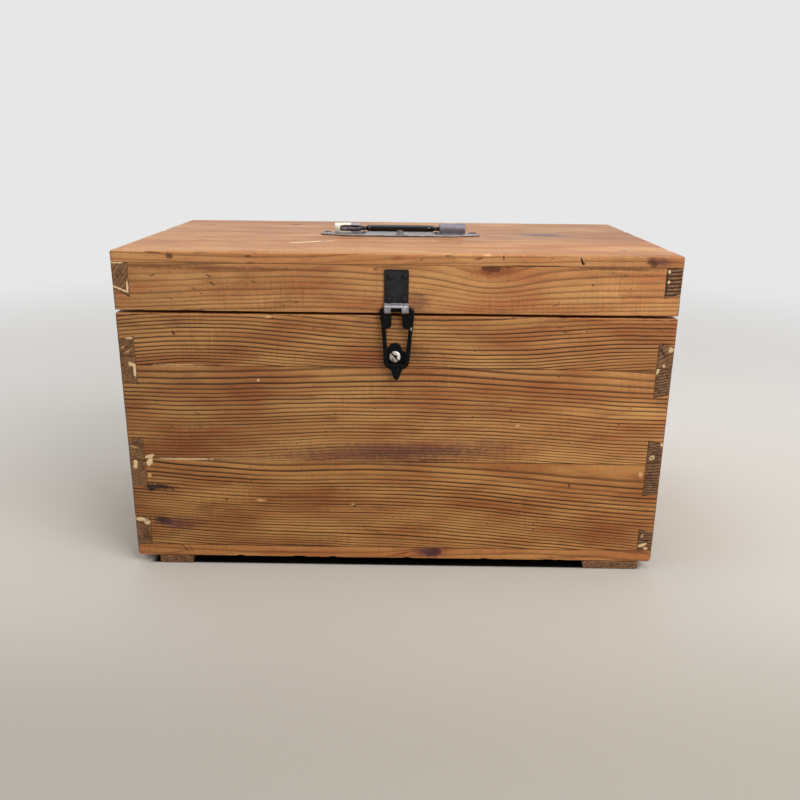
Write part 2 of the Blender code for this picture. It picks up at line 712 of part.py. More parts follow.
def build_catch(wood):
    """A plate with a pressed boss that the loop hangs round, held by one slotted screw."""
    place = Matrix.Translation((CATCH_X, -DEPTH / 2, CATCH_Z)) @ OUT_OF_FRONT
    outline = mirrored([(0, CATCH_TIP)] + arc(*CATCH_CROWN, 65, 0, 4) + list(CATCH_FOOT))
    plate = add_object("catch_plate", outline_curve("catch_plate", outline, CATCH_PLATE), "black_steel")
    plate.matrix_world = place @ Matrix.Translation((0, 0, GAP + CATCH_PLATE / 2))
    plate = as_mesh(plate)
    top = GAP + CATCH_PLATE + CATCH_RISE
    middle = GAP + CATCH_PLATE / 2
    rim = CATCH_BOSS_R
    profile = [(0, top), (0.81 * rim, top), (0.94 * rim, top - 0.4 * CATCH_RISE), (rim, top - CATCH_RISE)]
    boss = turned("catch_boss", profile + [(rim, middle), (0, middle)], 24)
    boss.matrix_world = place
    boolean(plate, "UNION", boss)
    fastener("catch_screw", place, CATCH_SCREW, top + HEAD_REST / 2, "bright_steel", CATCH_SLOT)
    pilot_hole("catch_screw", place, CATCH_SCREW, wood, plate)


# ---------------------------------------------------------------- the toolbox

clear_scene()
TOOLBOX = make_collection("toolbox")
CUTTERS = make_collection("cutters")

joint_sockets, joint_spaces = cut_joints()
walls = build_walls(joint_sockets, joint_spaces)
build_bottom()
lid = build_lid(joint_sockets, joint_spaces)
for hinge_side, hinge_x in (("left", -HINGE_X), ("right", HINGE_X)):
    build_hinge(hinge_side, hinge_x, walls["back_board_upper"], lid["lid_rail_back"])
build_handle_plate(lid["lid_board_middle"])
handle_pivot = build_handle_bail()
build_hasp_plate(lid["lid_rail_front"])
hasp_pivot = build_hasp_loop()
build_catch(walls["front_board_upper"])

# The lid, with everything fixed to it, turns about the hinges' pins
lid_hinge = pivot_empty("lid_hinge", Matrix.Translation((0, HINGE_Y, HINGE_Z)))
fixed_to_lid = [
    obj
    for obj in TOOLBOX.objects
    if obj.type == "MESH" and obj.parent is None and (obj.name.startswith(ON_LID) or "_lid_" in obj.name)
]
hang(lid_hinge, fixed_to_lid)
for inner_pivot in (handle_pivot, hasp_pivot):
    inner_pivot.parent = lid_hinge
    inner_pivot.matrix_parent_inverse = lid_hinge.matrix_world.inverted()
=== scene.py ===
"""The looks of a carpenter's toolbox, built round its CAD model: worn, oiled softwood boards with
open dovetails and old filler, a black painted hasp, a folding handle in rolled clips, and two
butt hinges. Lengths in the tables are millimetres, and the front faces -Y."""

import json
import math
import random

import bmesh
import bpy
from mathutils import Matrix, Vector, noise


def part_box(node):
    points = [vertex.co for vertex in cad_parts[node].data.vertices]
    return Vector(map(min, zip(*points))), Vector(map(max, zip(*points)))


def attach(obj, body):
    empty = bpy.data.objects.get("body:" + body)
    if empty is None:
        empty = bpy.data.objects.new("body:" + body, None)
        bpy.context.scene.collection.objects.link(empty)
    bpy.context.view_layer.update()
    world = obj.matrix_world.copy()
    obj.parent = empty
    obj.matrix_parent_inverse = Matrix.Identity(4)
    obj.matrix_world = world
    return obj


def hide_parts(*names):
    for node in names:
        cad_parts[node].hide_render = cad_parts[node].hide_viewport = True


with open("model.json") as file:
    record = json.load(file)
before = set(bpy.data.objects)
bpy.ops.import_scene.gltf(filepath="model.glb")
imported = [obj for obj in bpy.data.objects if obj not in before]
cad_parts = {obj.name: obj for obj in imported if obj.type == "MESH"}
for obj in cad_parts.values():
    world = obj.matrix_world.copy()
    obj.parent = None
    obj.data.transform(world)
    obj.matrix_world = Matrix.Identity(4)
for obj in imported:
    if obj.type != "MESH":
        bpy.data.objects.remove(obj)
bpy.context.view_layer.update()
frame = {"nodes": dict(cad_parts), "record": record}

MM = 0.001
TAU = 2 * math.pi
HALF_WIDTH, HALF_DEPTH = 250, 142
BOX_LEVELS = (8.0, 248.9)  # lowest and highest wood of the box, then of the lid
LID_LEVELS = (251.1, 304.0)
WALL = 14.5


def box_mm(node):
    """A CAD node's low and high corners, and its middle, in millimetres."""
    low, high = (Vector(corner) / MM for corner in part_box(node))
    return low, high, (low + high) / 2


def middle_mm(node):
    return box_mm(node)[2]


# ---------------------------------------------------------------- node trees


def tone(red, green, blue):
    """A colour as it looks on a screen, 0 to 255, as the linear colour that nodes take."""
    shares = (c / 255 for c in (red, green, blue))
    return (*(c / 12.92 if c < 0.043 else ((c + 0.055) / 1.055) ** 2.4 for c in shares), 1)


class Value:
    """A number in a node tree: arithmetic on it adds math nodes."""

    def __init__(self, nodes, socket):
        self.nodes, self.socket = nodes, socket

    def __add__(self, other):
        return self.nodes.math("ADD", self, other)

    def __radd__(self, other):
        return self.nodes.math("ADD", other, self)

    def __sub__(self, other):
        return self.nodes.math("SUBTRACT", self, other)

    def __rsub__(self, other):
        return self.nodes.math("SUBTRACT", other, self)

    def __mul__(self, other):
        return self.nodes.math("MULTIPLY", self, other)

    def __rmul__(self, other):
        return self.nodes.math("MULTIPLY", other, self)

    def __truediv__(self, other):
        return self.nodes.math("DIVIDE", self, other)

    def __pow__(self, other):
        return self.nodes.math("POWER", self, other)

    def __abs__(self):
        return self.nodes.math("ABSOLUTE", self)


class Nodes:
    """A node tree being built. x, y and z are millimetres in the toolbox's frame, and nx, ny and
    nz are the surface's normal there."""

    def __init__(self, tree):
        self.tree = tree
        place = self.add("TexCoord")
        self.x, self.y, self.z = (v * 1000 for v in self.split(place.outputs["Object"]))
        self.nx, self.ny, self.nz = self.split(place.outputs["Normal"])

    def add(self, kind, inputs=None, **settings):
        node = self.tree.nodes.new("ShaderNode" + kind)
        for key, value in settings.items():
            setattr(node, key, value)
        for key, value in (inputs or {}).items():
            self.feed(node.inputs[key], value)
        return node

    def feed(self, socket, value):
        if isinstance(value, Value):
            value = value.socket
        if isinstance(value, bpy.types.NodeSocket):
            self.tree.links.new(value, socket)
        else:
            socket.default_value = value

    def split(self, vector):
        node = self.add("SeparateXYZ", {0: vector})
        return [Value(self, out) for out in node.outputs]

    def math(self, operation, *values):
        node = self.add("Math", dict(enumerate(values)), operation=operation)
        return Value(self, node.outputs[0])

    def least(self, *values):
        result = values[0]
        for value in values[1:]:
            result = self.math("MINIMUM", result, value)
        return result

    def most(self, *values):
        result = values[0]
        for value in values[1:]:
            result = self.math("MAXIMUM", result, value)
        return result

    def fade(self, value, low, high, start=0.0, end=1.0):
        """start where value is at low, end where it is at high, smooth between and flat beyond."""
        inputs = {"Value": value, "From Min": low, "From Max": high, "To Min": start, "To Max": end}
        node = self.add("MapRange", inputs, interpolation_type="SMOOTHSTEP")
        return Value(self, node.outputs[0])

    def place(self, x, y, z):
        return self.add("CombineXYZ", {0: x, 1: y, 2: z}).outputs[0]

    def noise(self, x, y, z, detail=0.0, roughness=0.5):
        """Smooth noise about zero, mostly within 1 of it."""
        inputs = {"Vector": self.place(x, y, z), "Scale": 1.0, "Detail": detail, "Roughness": roughness}
        return (Value(self, self.add("TexNoise", inputs).outputs[0]) - 0.5) * 3

    def specks(self, x, y, z):
        """Distance to the nearest of scattered points, and a random number for each point."""
        node = self.add("TexVoronoi", {"Vector": self.place(x, y, z), "Scale": 1.0})
        return Value(self, node.outputs["Distance"]), self.split(node.outputs["Color"])[0]

    def mix(self, factor, a, b, blend="MIX"):
        node = self.add("Mix", data_type="RGBA", blend_type=blend)
        for key, value in ((0, factor), (6, a), (7, b)):
            self.feed(node.inputs[key], value)
        return node.outputs[2]

    def scale(self, colour, factor):
        """The colour made lighter or darker by a factor."""
        node = self.add("VectorMath", operation="SCALE")
        self.feed(node.inputs[0], colour[:3] if isinstance(colour, tuple) else colour)
        self.feed(node.inputs["Scale"], factor)
        return node.outputs[0]


class Material(Nodes):
    """The node tree of a new material."""

    def __init__(self, name):
        self.material = bpy.data.materials.new(name)
        self.material.use_nodes = True
        super().__init__(self.material.node_tree)
        self.shader = self.tree.nodes["Principled BSDF"]

    def finish(self, colour, roughness, height, metallic=0.0, gloss=0.5):
        """Feeds the shader. height is relief in millimetres."""
        bump = self.add("Bump", {"Height": height, "Distance": MM, "Strength": 1.0})
        inputs = {"Base Color": colour, "Roughness": roughness, "Metallic": metallic}
        inputs["Specular IOR Level"] = gloss
        inputs["Normal"] = bump.outputs[0]
        for key, value in inputs.items():
            self.feed(self.shader.inputs[key], value)
        return self.material


# ---------------------------------------------------------------- wood

# Each kind of mark: colour, how soft its rim is, relief and roughness
MARKS = {
    "filler": (tone(232, 200, 152), 0.30, 0.06, 0.8),
    "pale": (tone(216, 168, 116), 0.60, 0.0, 0.55),
    "dark": (tone(70, 40, 24), 0.60, -0.05, 0.5),
    "black": (tone(34, 24, 22), 0.55, -0.05, 0.55),
    "purple": (tone(92, 54, 54), 0.95, 0.0, 0.5),
    "grey": (tone(112, 92, 92), 0.85, 0.0, 0.5),
    "knot": (tone(24, 17, 22), 0.50, -0.12, 0.45),
    "dent": (tone(240, 214, 180), 0.55, -0.25, 0.5),
    "red": (tone(130, 62, 34), 0.80, 0.0, 0.5),
    "hole": (tone(10, 8, 7), 0.25, -0.9, 0.9),
}

# Marks on the front: kind, then x, z, half length, half height, turn in degrees and strength of each
FRONT_MARKS = {
    "front_board_upper": [
        ("pale", (-197, 201.5, 25, 0.7, 0, 1), (-148, 201.6, 22, 0.6, 0, 0.45)),
        ("dark", (-199, 231, 1.6, 2.2, 25, 0.8)),
        ("pale", (-113, 246.8, 3.2, 1.2, 0, 0.8)),
        ("dark", (-110, 245.4, 2.2, 0.7, 0, 0.8)),
        ("purple", (-30, 243, 9, 4, 0, 0.35)),
        ("dark", (146, 240, 4, 0.8, 8, 0.7), (150, 236, 3, 0.7, -12, 0.6), (224, 233, 7, 0.8, 6, 0.6),
         (236, 238, 5, 0.7, -8, 0.5), (19, 214, 14, 9, -12, 0.35)),
    ],
    "front_board_middle": [
        ("pale", (-197, 200.3, 24, 0.5, 0, 0.7)),
        ("purple", (0, 120, 105, 9, 3, 0.65)),
        ("black", (20, 118, 60, 4, 3, 0.25)),
        ("dark", (-58, 152, 8, 2.6, 0, 0.35)),
        ("filler", (-125, 188, 1.5, 1.3, 0, 0.8)),
        ("pale", (113, 147, 2.4, 1.6, 0, 0.8)),
        ("dark", (148, 195, 1.8, 1.2, 30, 0.8), (-182, 155, 4, 1.1, -14, 0.5),
         (45, 112, 30, 0.9, 1, 0.8)),
        ("filler", (-198, 110.2, 30, 0.5, 0, 1), (-120, 110.1, 46, 0.4, 0, 0.8)),
        ("pale", (-50, 110.1, 30, 0.4, 0, 0.8)),
        ("filler", (-231, 111.5, 5, 2, 20, 0.9)),
    ],
    "front_board_lower": [
        ("black", (-222, 81, 17, 2.9, -5, 0.9), (-231, 79, 6, 3.2, -5, 0.9),
         (-222, 46, 10, 4.2, -4, 0.9)),
        ("purple", (-208, 43, 20, 6, -4, 0.7)),
        ("black", (-160, 69, 2.2, 1.2, -5, 0.9)),
        ("pale", (-128, 68.5, 4.5, 1.4, -3, 0.9)),
        ("dark", (-38, 64, 1.6, 2, 0, 0.8)),
        ("pale", (-39.5, 65.5, 2, 1.2, 0, 0.6)),
        ("dark", (165, 88, 1.1, 3.4, 24, 0.8)),
        ("filler", (-196, 109.4, 26, 0.45, 0, 0.9), (-231, 106, 2.4, 4.4, -20, 1)),
        ("pale", (-232, 93, 2.2, 2, 0, 0.8)),
        ("black", (40, 109.5, 42, 0.8, 0, 0.8)),
        ("dark", (-20, 38, 10, 2, -6, 0.4)),
        ("pale", (231, 100, 2.2, 3, 20, 0.9)),
    ],
    "bottom_board_front": [
        ("knot", (38, 15.6, 9.5, 4.8, 0, 1)),
        ("purple", (34, 15.8, 17, 5.5, 0, 0.9)),
        ("red", (8, 13.6, 17, 0.9, 14, 0.9)),
        ("dark", (-203, 16, 5.5, 0.8, -52, 0.7), (-197, 15, 5, 0.7, -48, 0.6),
         (-212, 12, 12, 0.8, 12, 0.5)),
        ("pale", (-92, 9, 3, 1.2, 0, 0.9)),
        ("red", (-120, 13, 60, 1.4, 1, 0.4)),
        ("dark", (170, 12, 30, 1, 2, 0.4)),
    ],
    "lid_rail_front": [
        ("dark", (84, 290.2, 13, 2.8, 0, 0.95)),
        ("black", (88, 292.6, 20, 0.5, 0, 0.9)),
        ("red", (84, 288, 26, 6, 3, 0.5), (-165, 288.6, 84, 3.4, 0, 0.45)),
        ("dark", (-160, 289.4, 74, 1.3, 0, 0.4), (200, 292, 34, 1.2, -1, 0.6),
         (-213, 283, 3, 1, 25, 0.7), (-165, 283, 3, 1, -25, 0.75), (-162, 276, 3.4, 1.3, -30, 0.75),
         (-178, 271, 3.2, 0.9, -20, 0.65), (-125, 278, 2.6, 1, -10, 0.75), (-88, 260, 3.4, 1, 0, 0.5),
         (-18, 290, 1.5, 1.2, 0, 0.7)),
        ("purple", (20, 262, 11, 9, 0, 0.5)),
        ("dark", (18, 268, 8, 1, 0, 0.5), (141, 260, 3, 0.9, 12, 0.6), (172, 278, 1.6, 1.2, 0, 0.7),
         (199, 286, 2.4, 0.9, 40, 0.5)),
    ],
    "lid_board_front": [
        ("dark", (-198, 299.6, 3.4, 2.6, 0, 0.75), (-212, 302.4, 7, 0.8, -4, 0.7),
         (-129, 300, 3.6, 1.1, 0, 0.8), (-127, 294.6, 3.2, 0.8, 0, 0.7), (-170, 302.6, 8, 0.7, 0, 0.5)),
        ("red", (2, 300, 6, 2.6, 0, 0.5)),
        ("dark", (22, 298.8, 2.6, 0.8, 50, 0.6), (45, 302, 4.5, 0.8, 0, 0.7),
         (72, 300, 3.4, 1.1, 12, 0.7), (93, 300.6, 0.8, 2.4, 0, 0.8)),
        ("hole", (161, 298.4, 0.9, 3.2, 20, 1), (162.2, 296.4, 1.5, 0.9, 10, 1)),
        ("purple", (230, 299, 11, 3.8, -6, 0.75)),
        ("dark", (222, 298.4, 5.4, 3.6, -20, 0.85)),
        ("pale", (79, 303.4, 3.6, 1.2, 0, 1)),
        ("black", (120, 294.2, 34, 0.6, 0, 0.8)),
    ],
    "lid_rail_left": [
        ("filler", (-243.2, 270, 8.4, 0.8, -22, 1), (-236.6, 273, 0.8, 6.4, 0, 1),
         (-245, 293.1, 6, 0.8, 0, 1)),
    ],
    "lid_rail_right": [
        ("filler", (237.4, 290.6, 1.5, 1.6, 0, 1), (237.2, 281.4, 1.6, 1.3, 20, 1)),
        ("black", (236.2, 280, 0.8, 13, 0, 0.9), (241, 267.6, 8, 1, 16, 0.9)),
    ],
    "left_board_upper": [
        ("filler", (-240, 226, 3.2, 1.4, 0, 0.8)),
        ("pale", (-246, 217, 2.4, 1, 30, 0.7), (-241, 213.5, 4.2, 0.8, 24, 0.7)),
    ],
    "left_board_middle": [
        ("black", (-244.5, 99.5, 3, 6.5, 24, 0.55)),
        ("filler", (-236.9, 196.5, 1.4, 6.6, 0, 1), (-239, 201.5, 3.2, 1.9, -12, 0.9)),
        ("pale", (-244, 121, 5, 0.9, -18, 0.7)),
        ("black", (-242, 125, 4, 2.2, 10, 0.6)),
    ],
    "left_board_lower": [
        ("dark", (-240, 30, 5, 8, 20, 0.5)),
        ("filler", (-244.6, 104.4, 2.2, 4.2, 0, 1), (-243, 46.6, 6.4, 2.2, -3, 1),
         (-238, 43.2, 3, 2.4, 20, 0.9)),
    ],
    "right_board_upper": [
        ("filler", (246.4, 221, 2.6, 2.4, 20, 0.8), (241.6, 205.6, 1.2, 1.2, 0, 0.9)),
        ("black", (238.6, 219, 0.9, 8, 35, 0.8)),
    ],
    "right_board_middle": [
        ("filler", (236.6, 200.4, 1.3, 3, -20, 0.9), (240, 117, 3.2, 2.6, 20, 0.8),
         (247.8, 130, 1.4, 2.2, 0, 0.8)),
        ("black", (240, 121.4, 4.4, 0.9, 30, 0.8), (239.6, 117, 1.4, 1, 0, 0.9)),
    ],
    "right_board_lower": [
        ("filler", (240.6, 26.4, 4.4, 1.7, 24, 0.9), (243.6, 22.4, 2.2, 1.6, 0, 0.8)),
        ("pale", (239, 36.4, 1.4, 2.2, -20, 0.7)),
        ("black", (243.4, 30, 3.4, 0.8, 34, 0.8)),
    ],
}

# Marks on the top of the lid, likewise with y for z
TOP_MARKS = {
    "lid_board_front": [
        ("dent", (-84, -67, 24, 3, 28, 1)),
        ("dark", (-82, -70.5, 20, 1.1, 28, 0.45), (118, -48, 60, 2, 2, 0.45)),
        ("grey", (70, -46, 22, 6, 0, 0.4)),
        ("red", (-150, -92, 50, 5, 2, 0.25)),
        ("dark", (205, -110, 10, 1.2, 70, 0.4)),
    ],
    "lid_board_middle": [
        # Painted shadow with some grime: dark lines along the handle plate's front and rear edges
        ("black", (1.5, -17.9, 70, 1.1, 0, 0.95)),
        ("dark", (1.5, 17.6, 64, 0.9, 0, 0.7)),
        ("grey", (151, 17, 30, 15, 4, 0.95)),
        ("purple", (158, 6, 28, 6, -3, 0.7)),
        ("pale", (86, -16, 2.6, 1.6, 30, 0.9)),
        ("dark", (178, 0, 40, 1.4, -1, 0.5)),
        ("grey", (104, -28, 26, 7, 0, 0.35)),
        ("dark", (-70, -34, 50, 2, 0, 0.35)),
    ],
    "lid_board_rear": [
        ("knot", (-118, 96, 6.5, 5, 0, 0.9)),
        ("red", (-118, 96, 22, 8, 0, 0.4)),
        ("pale", (60, 88, 18, 1.2, -14, 0.6)),
    ],
}

# Knots: along the grain, across it, half length and half height of the swirl, and how far the
# rings are pushed
KNOTS = {
    "lid_rail_front": [(84, 291, 36, 26, -11)],
    "bottom_board_front": [(38, 16, 24, 9, 4)],
    "lid_board_rear": [(-118, 96, 34, 18, 9)],
    "back_board_middle": [(-96, 158, 30, 17, 10), (134, 128, 24, 13, -9)],
    "back_board_lower": [(62, 64, 30, 17, 10)],
    "left_board_middle": [(34, 172, 26, 15, 9)],
    "left_board_lower": [(-58, 52, 24, 14, -8)],
    "right_board_lower": [(48, 70, 28, 16, 9)],
    "right_board_upper": [(-34, 229, 22, 10, 6)],
}
KNOT_EYES = ("back_board", "left_board", "right_board")

# Tones of the springwood where it is light and where it is red, of the summerwood, and of the end
# grain and its summerwood
PALETTES = {
    "body": ((200, 147, 87), (157, 93, 51), (44, 21, 11), (140, 101, 68), (32, 20, 14)),
    "lower": ((200, 145, 83), (153, 91, 47), (36, 18, 9), (140, 101, 68), (28, 18, 12)),
    "rail": ((206, 152, 94), (172, 106, 62), (70, 34, 17), (144, 104, 70), (30, 19, 12)),
    "top": ((202, 153, 104), (168, 108, 69), (86, 46, 28), (140, 98, 62), (60, 38, 25)),
    "edge": ((206, 152, 97), (180, 114, 66), (96, 51, 26), (140, 98, 62), (60, 38, 25)),
    "bottom": ((203, 145, 84), (168, 98, 52), (88, 44, 21), (120, 84, 54), (40, 26, 17)),
    "runner": ((146, 104, 72), (112, 76, 50), (60, 40, 27), (136, 97, 68), (60, 41, 27)),
}

# Each board: palette, grain, pith across and through, ring width, wave (height, length, start),
# slope of the rings, summerwood's strength, how much lighter its right end is (painted light on
# the front boards, where it is above nought, and stains on the lid's top, where it is below), and
# how ribbed its end grain is
BOARDS = {
    "front_board_lower": ("lower", "x", (117, -106), 2.75, (2.4, 400, -60), -0.05, 1.0, 0.10, 0.5),
    "front_board_middle": ("body", "x", (222, -94), 2.9, (3.6, 560, -100), -0.008, 0.9, 0.18, 0.5),
    "front_board_upper": ("body", "x", (272, -104), 2.65, (4.4, 440, -270), 0.0, 0.95, 0.10, 0.5),
    "back_board_lower": ("lower", "x", (60, 96), 3.6, (3.0, 460, 60), 0.02, 0.9, 0.0, 0.5),
    "back_board_middle": ("body", "x", (150, 84), 3.4, (4.0, 500, 20), -0.02, 0.85, 0.0, 0.5),
    "back_board_upper": ("body", "x", (190, 100), 3.4, (3.0, 380, -60), 0.01, 0.9, 0.0, 0.5),
    "left_board_lower": ("lower", "y", (150, -268), 3.1, (3.0, 300, 20), 0.03, 0.9, 0.0, 0.25),
    "left_board_middle": ("body", "y", (236, -280), 3.0, (3.0, 320, 0), -0.02, 0.9, 0.0, 0.3),
    "left_board_upper": ("body", "y", (170, -215), 3.0, (2.0, 300, 0), 0.0, 0.9, 0.0, 0.45),
    "right_board_lower": ("lower", "y", (200, 240), 2.7, (3.0, 300, 80), -0.03, 0.95, 0.0, 0.85),
    "right_board_middle": ("body", "y", (292, 224), 2.6, (3.0, 310, 0), 0.02, 0.95, 0.0, 0.75),
    "right_board_upper": ("body", "y", (300, 190), 3.4, (2.0, 300, 0), 0.0, 0.8, 0.0, 0.5),
    "bottom_board_front": ("bottom", "flat", (-96, 44), 3.6, (3.0, 420, 0), 0.0, 0.5, 0.05, 0.5),
    "bottom_board_middle": ("bottom", "flat", (10, -24), 3.4, (3.0, 460, 80), 0.01, 0.8, 0.0, 0.5),
    "bottom_board_rear": ("bottom", "flat", (80, 50), 3.6, (3.0, 400, 0), -0.02, 0.8, 0.0, 0.5),
    "lid_rail_front": ("rail", "x", (330, -100), 4.3, (2.5, 480, -240), 0.0, 0.55, 0.13, 0.5),
    "lid_rail_back": ("rail", "x", (210, 96), 4.0, (2.5, 420, 0), 0.01, 0.7, 0.0, 0.5),
    "lid_rail_left": ("rail", "y", (330, -300), 3.6, (2.0, 300, 0), 0.02, 0.8, 0.0, 0.35),
    "lid_rail_right": ("rail", "y", (360, 238), 3.3, (2.0, 300, 40), 0.0, 0.95, 0.0, 1.0),
    "lid_board_front": ("edge", "flat", (-100, 352), 3.8, (3.0, 460, 0), 0.02, 0.5, 0.0, 0.5),
    "lid_board_middle": ("top", "flat", (-4, 346), 3.8, (3.0, 500, 60), -0.02, 0.55, -0.08, 0.5),
    "lid_board_rear": ("top", "flat", (110, 350), 3.8, (3.0, 420, 0), 0.01, 0.55, -0.08, 0.5),
    "runner_left": ("runner", "flat_y", (-213, -30), 3.4, (2.0, 300, 0), 0.0, 0.6, 0.0, 0.5),
    "runner_right": ("runner", "flat_y", (211, -30), 3.4, (2.0, 300, 0), 0.0, 0.6, 0.0, 0.5),
}
WALL_SEAMS = {
    "front": (109.8, 201.0),
    "back": (109.8, 201.0),
    "left": (108.0, 209.0),
    "right": (112.5, 203.0),
}
NO_SEAM = -99
BOTTOM_SEAM = 20.3


def edge_distance(n, low, high):
    """Distance along the surface to the nearest outer edge of the box or the lid: on a face one
    of the three distances is nought, so it is the middle one."""
    dx = HALF_WIDTH - abs(n.x)
    dy = HALF_DEPTH - abs(n.y)
    dz = n.least(n.z - low, high - n.z)
    return n.most(n.least(dx, dy), n.least(n.most(dx, dy), dz))


WOOD_NUMBERS = (
    "along across through end push pith_across pith_through ring_width wave_height wave_length "
    "wave_start slope strength lean ribs seed low high seam_1 seam_2 seam_3 outside"
).split()
WOOD_TONES = ("light", "red", "late", "end_tone", "end_late")


def wood_group():
    """Growth rings about a pith, fibres, saw marks, dirt, specks and worn edges, with painted shade
    on the upright corners and, on the front boards, painted light that is lighter towards the right,
    as one group that every board's material uses with its own numbers and tones."""
    tree = bpy.data.node_groups.new("wood", "ShaderNodeTree")
    for name in WOOD_NUMBERS:
        tree.interface.new_socket(name, in_out="INPUT", socket_type="NodeSocketFloat")
    for name in WOOD_TONES:
        tree.interface.new_socket(name, in_out="INPUT", socket_type="NodeSocketColor")
    tree.interface.new_socket("colour", in_out="OUTPUT", socket_type="NodeSocketColor")
    for name in ("roughness", "relief", "ragged"):
        tree.interface.new_socket(name, in_out="OUTPUT", socket_type="NodeSocketFloat")
    n = Nodes(tree)
    source = tree.nodes.new("NodeGroupInput")
    given = {name: Value(n, source.outputs[name]) for name in WOOD_NUMBERS}
    light, red, late_tone, end_tone, end_late = (source.outputs[name] for name in WOOD_TONES)
    wanted = ("along", "across", "through", "end", "seed")
    along, across, through, end, seed = (given[key] for key in wanted)
    end = n.fade(abs(end), 0.55, 0.85)

    # Where the rings run
    phase = (along - given["wave_start"]) * TAU / given["wave_length"]
    sway = n.math("SINE", phase) * given["wave_height"]
    sway = sway + along * given["slope"] + given["push"]
    sway += n.noise(along / 150, across / 70, through / 60 + seed) * 2.4
    sway += n.noise(along / 36, across / 16, through / 30 + seed) * 0.42
    u, v = across - sway - given["pith_across"], through - given["pith_through"]
    radius = (u * u + v * v) ** 0.5
    rings = radius / given["ring_width"] + n.noise(radius / 15, seed, along / 700) * 0.55
    part = n.math("FRACT", rings)
    ring = rings - part
    late = n.fade(part, 0.42, 0.84) ** 1.3 * n.fade(part, 1.0, 0.965)
    vary = n.fade(n.noise(ring * 3.1, along / 210, seed, 1), -0.9, 0.4, 0.45, 1.0)
    late = late * vary * n.fade(abs(u) / radius, 0.1, 0.6, 0.4, 1.0)
    faint = n.fade(part, 0.1, 0.9) * 0.22

    # Tone of the wood between the rings' dark lines
    patch = n.noise(along / 90, across / 28, through / 28 + seed, 2)
    streak = n.noise(along / 48, across / 2.4, through / 2.4 + seed, 1)
    fibre = n.noise(along / 9, across / 0.42, through / 0.42 + seed, 2, 0.6)
    saw = n.noise(along / 1.3, across / 20, through / 20 + seed)
    sawn = n.fade(n.noise(along / 60, across / 40, seed), -0.1, 0.6)
    colour = n.mix(n.fade(patch + streak * 0.35, -0.8, 0.8), light, red)
    colour = n.mix(n.most(late, faint) * given["strength"], colour, late_tone)
    colour = n.scale(colour, 1 + fibre * 0.22 + streak * 0.16 + saw * sawn * 0.13)

    # End grain is darker, with pores instead of fibres
    pores = n.noise(across / 0.5, through / 0.5, along / 0.5 + seed, 2, 0.7)
    smear = n.noise(across / 5, through / 5, along / 5 + seed, 2)
    ribs = n.fade(part, 0.3, 0.8) * n.fade(part, 1.0, 0.93) * (given["ribs"] + smear * 0.25)
    end_colour = n.mix(n.most(ribs, faint), end_tone, end_late)
    clot = n.noise(across / 3.2, through / 3.2, along / 9 + seed, 3, 0.6)
    end_colour = n.mix(n.fade(clot, -0.1, 0.6) * 0.7, end_colour, tone(42, 26, 20))
    end_colour = n.scale(end_colour, 1 + pores * 0.3 + smear * 0.35)
    colour = n.mix(end, colour, end_colour)

    # Dirt: soft patches, specks, and short dark pores along the grain
    grime = n.fade(n.noise(along / 34, across / 11, through / 11 + seed, 3), 0.1, 0.9)
    colour = n.mix(grime * 0.35, colour, tone(88, 46, 32))
    # Painted light on the front boards: lighter towards the right end; on the lid's top a stain darkens
    # the right end
    colour = n.scale(colour, 1 + given["lean"] * n.x / HALF_WIDTH)
    near, chance = n.specks(along / 9, across / 6, through / 6 + seed)
    speck = n.fade(near, 0.13, 0.07) * n.fade(chance, 0.80, 0.82)
    dash = n.fade(n.noise(along / 3.2, across / 0.7, through / 0.7 + seed), 0.72, 0.85)
    spots = n.most(speck * 0.75, dash * 0.35)
    colour = n.mix(spots, colour, tone(52, 28, 16))
    relief = fibre * 0.02 + late * 0.05 - spots * 0.12 + saw * sawn * 0.012 + end * pores * 0.06
    rough = 0.46 + fibre * 0.06 - late * 0.06 + end * 0.2 + grime * 0.08

    # Worn outer edges, with painted shade darkening the upright corners, dark seams, and bare wood
    # inside
    scuff = n.noise(n.x / 7, n.y / 7, n.z / 7 + seed, 2)
    to_edge = edge_distance(n, given["low"], given["high"])
    worn = n.fade(to_edge + scuff * 1.4, 2.0, 0.2) * given["outside"]
    # Painted shade: the upright outer corners are darkened as if the side faces were in shade
    shaded_upright_corner = n.fade(abs(n.x), HALF_WIDTH - 2.5, HALF_WIDTH - 0.5) * n.fade(abs(n.nz), 0.5, 0.3)
    shaded_upright_corner = shaded_upright_corner * n.fade(abs(n.y), HALF_DEPTH - 2.5, HALF_DEPTH - 0.5)
    wear_and_painted_light = n.mix(shaded_upright_corner, tone(202, 146, 92), tone(44, 28, 21))
    colour = n.mix(worn * (0.45 + shaded_upright_corner * 0.35), colour, wear_and_painted_light)
    rough = rough + worn * 0.08
    seam = n.least(*(abs(n.z - given[k]) for k in ("seam_1", "seam_2", "seam_3")))
    colour = n.mix(n.fade(seam + scuff * 0.4, 1.0, 0.1) * 0.5, colour, tone(44, 24, 15))
    inside = n.fade(abs(n.x), HALF_WIDTH - WALL + 0.5, HALF_WIDTH - WALL - 0.2)
    inside *= n.fade(abs(n.y), HALF_DEPTH - WALL + 0.5, HALF_DEPTH - WALL - 0.2)
    inside *= n.fade(n.z, 295.5, 294.2) * n.fade(n.z, 15, 19)
    colour = n.mix(inside * 0.4, colour, n.scale(tone(168, 132, 96), 1 + smear * 0.15 - late * 0.3))
    rough = rough + inside * 0.15

    ragged = n.noise(n.x / 2.2, n.y / 2.2, n.z / 2.2 + seed, 2) * 0.42
    ragged += n.noise(n.x / 7, n.y / 7, n.z / 7 + seed, 1) * 0.25
    sink = tree.nodes.new("NodeGroupOutput")
    results = (("colour", colour), ("roughness", rough), ("relief", relief), ("ragged", ragged))
    for name, value in results:
        n.feed(sink.inputs[name], value)
    return tree


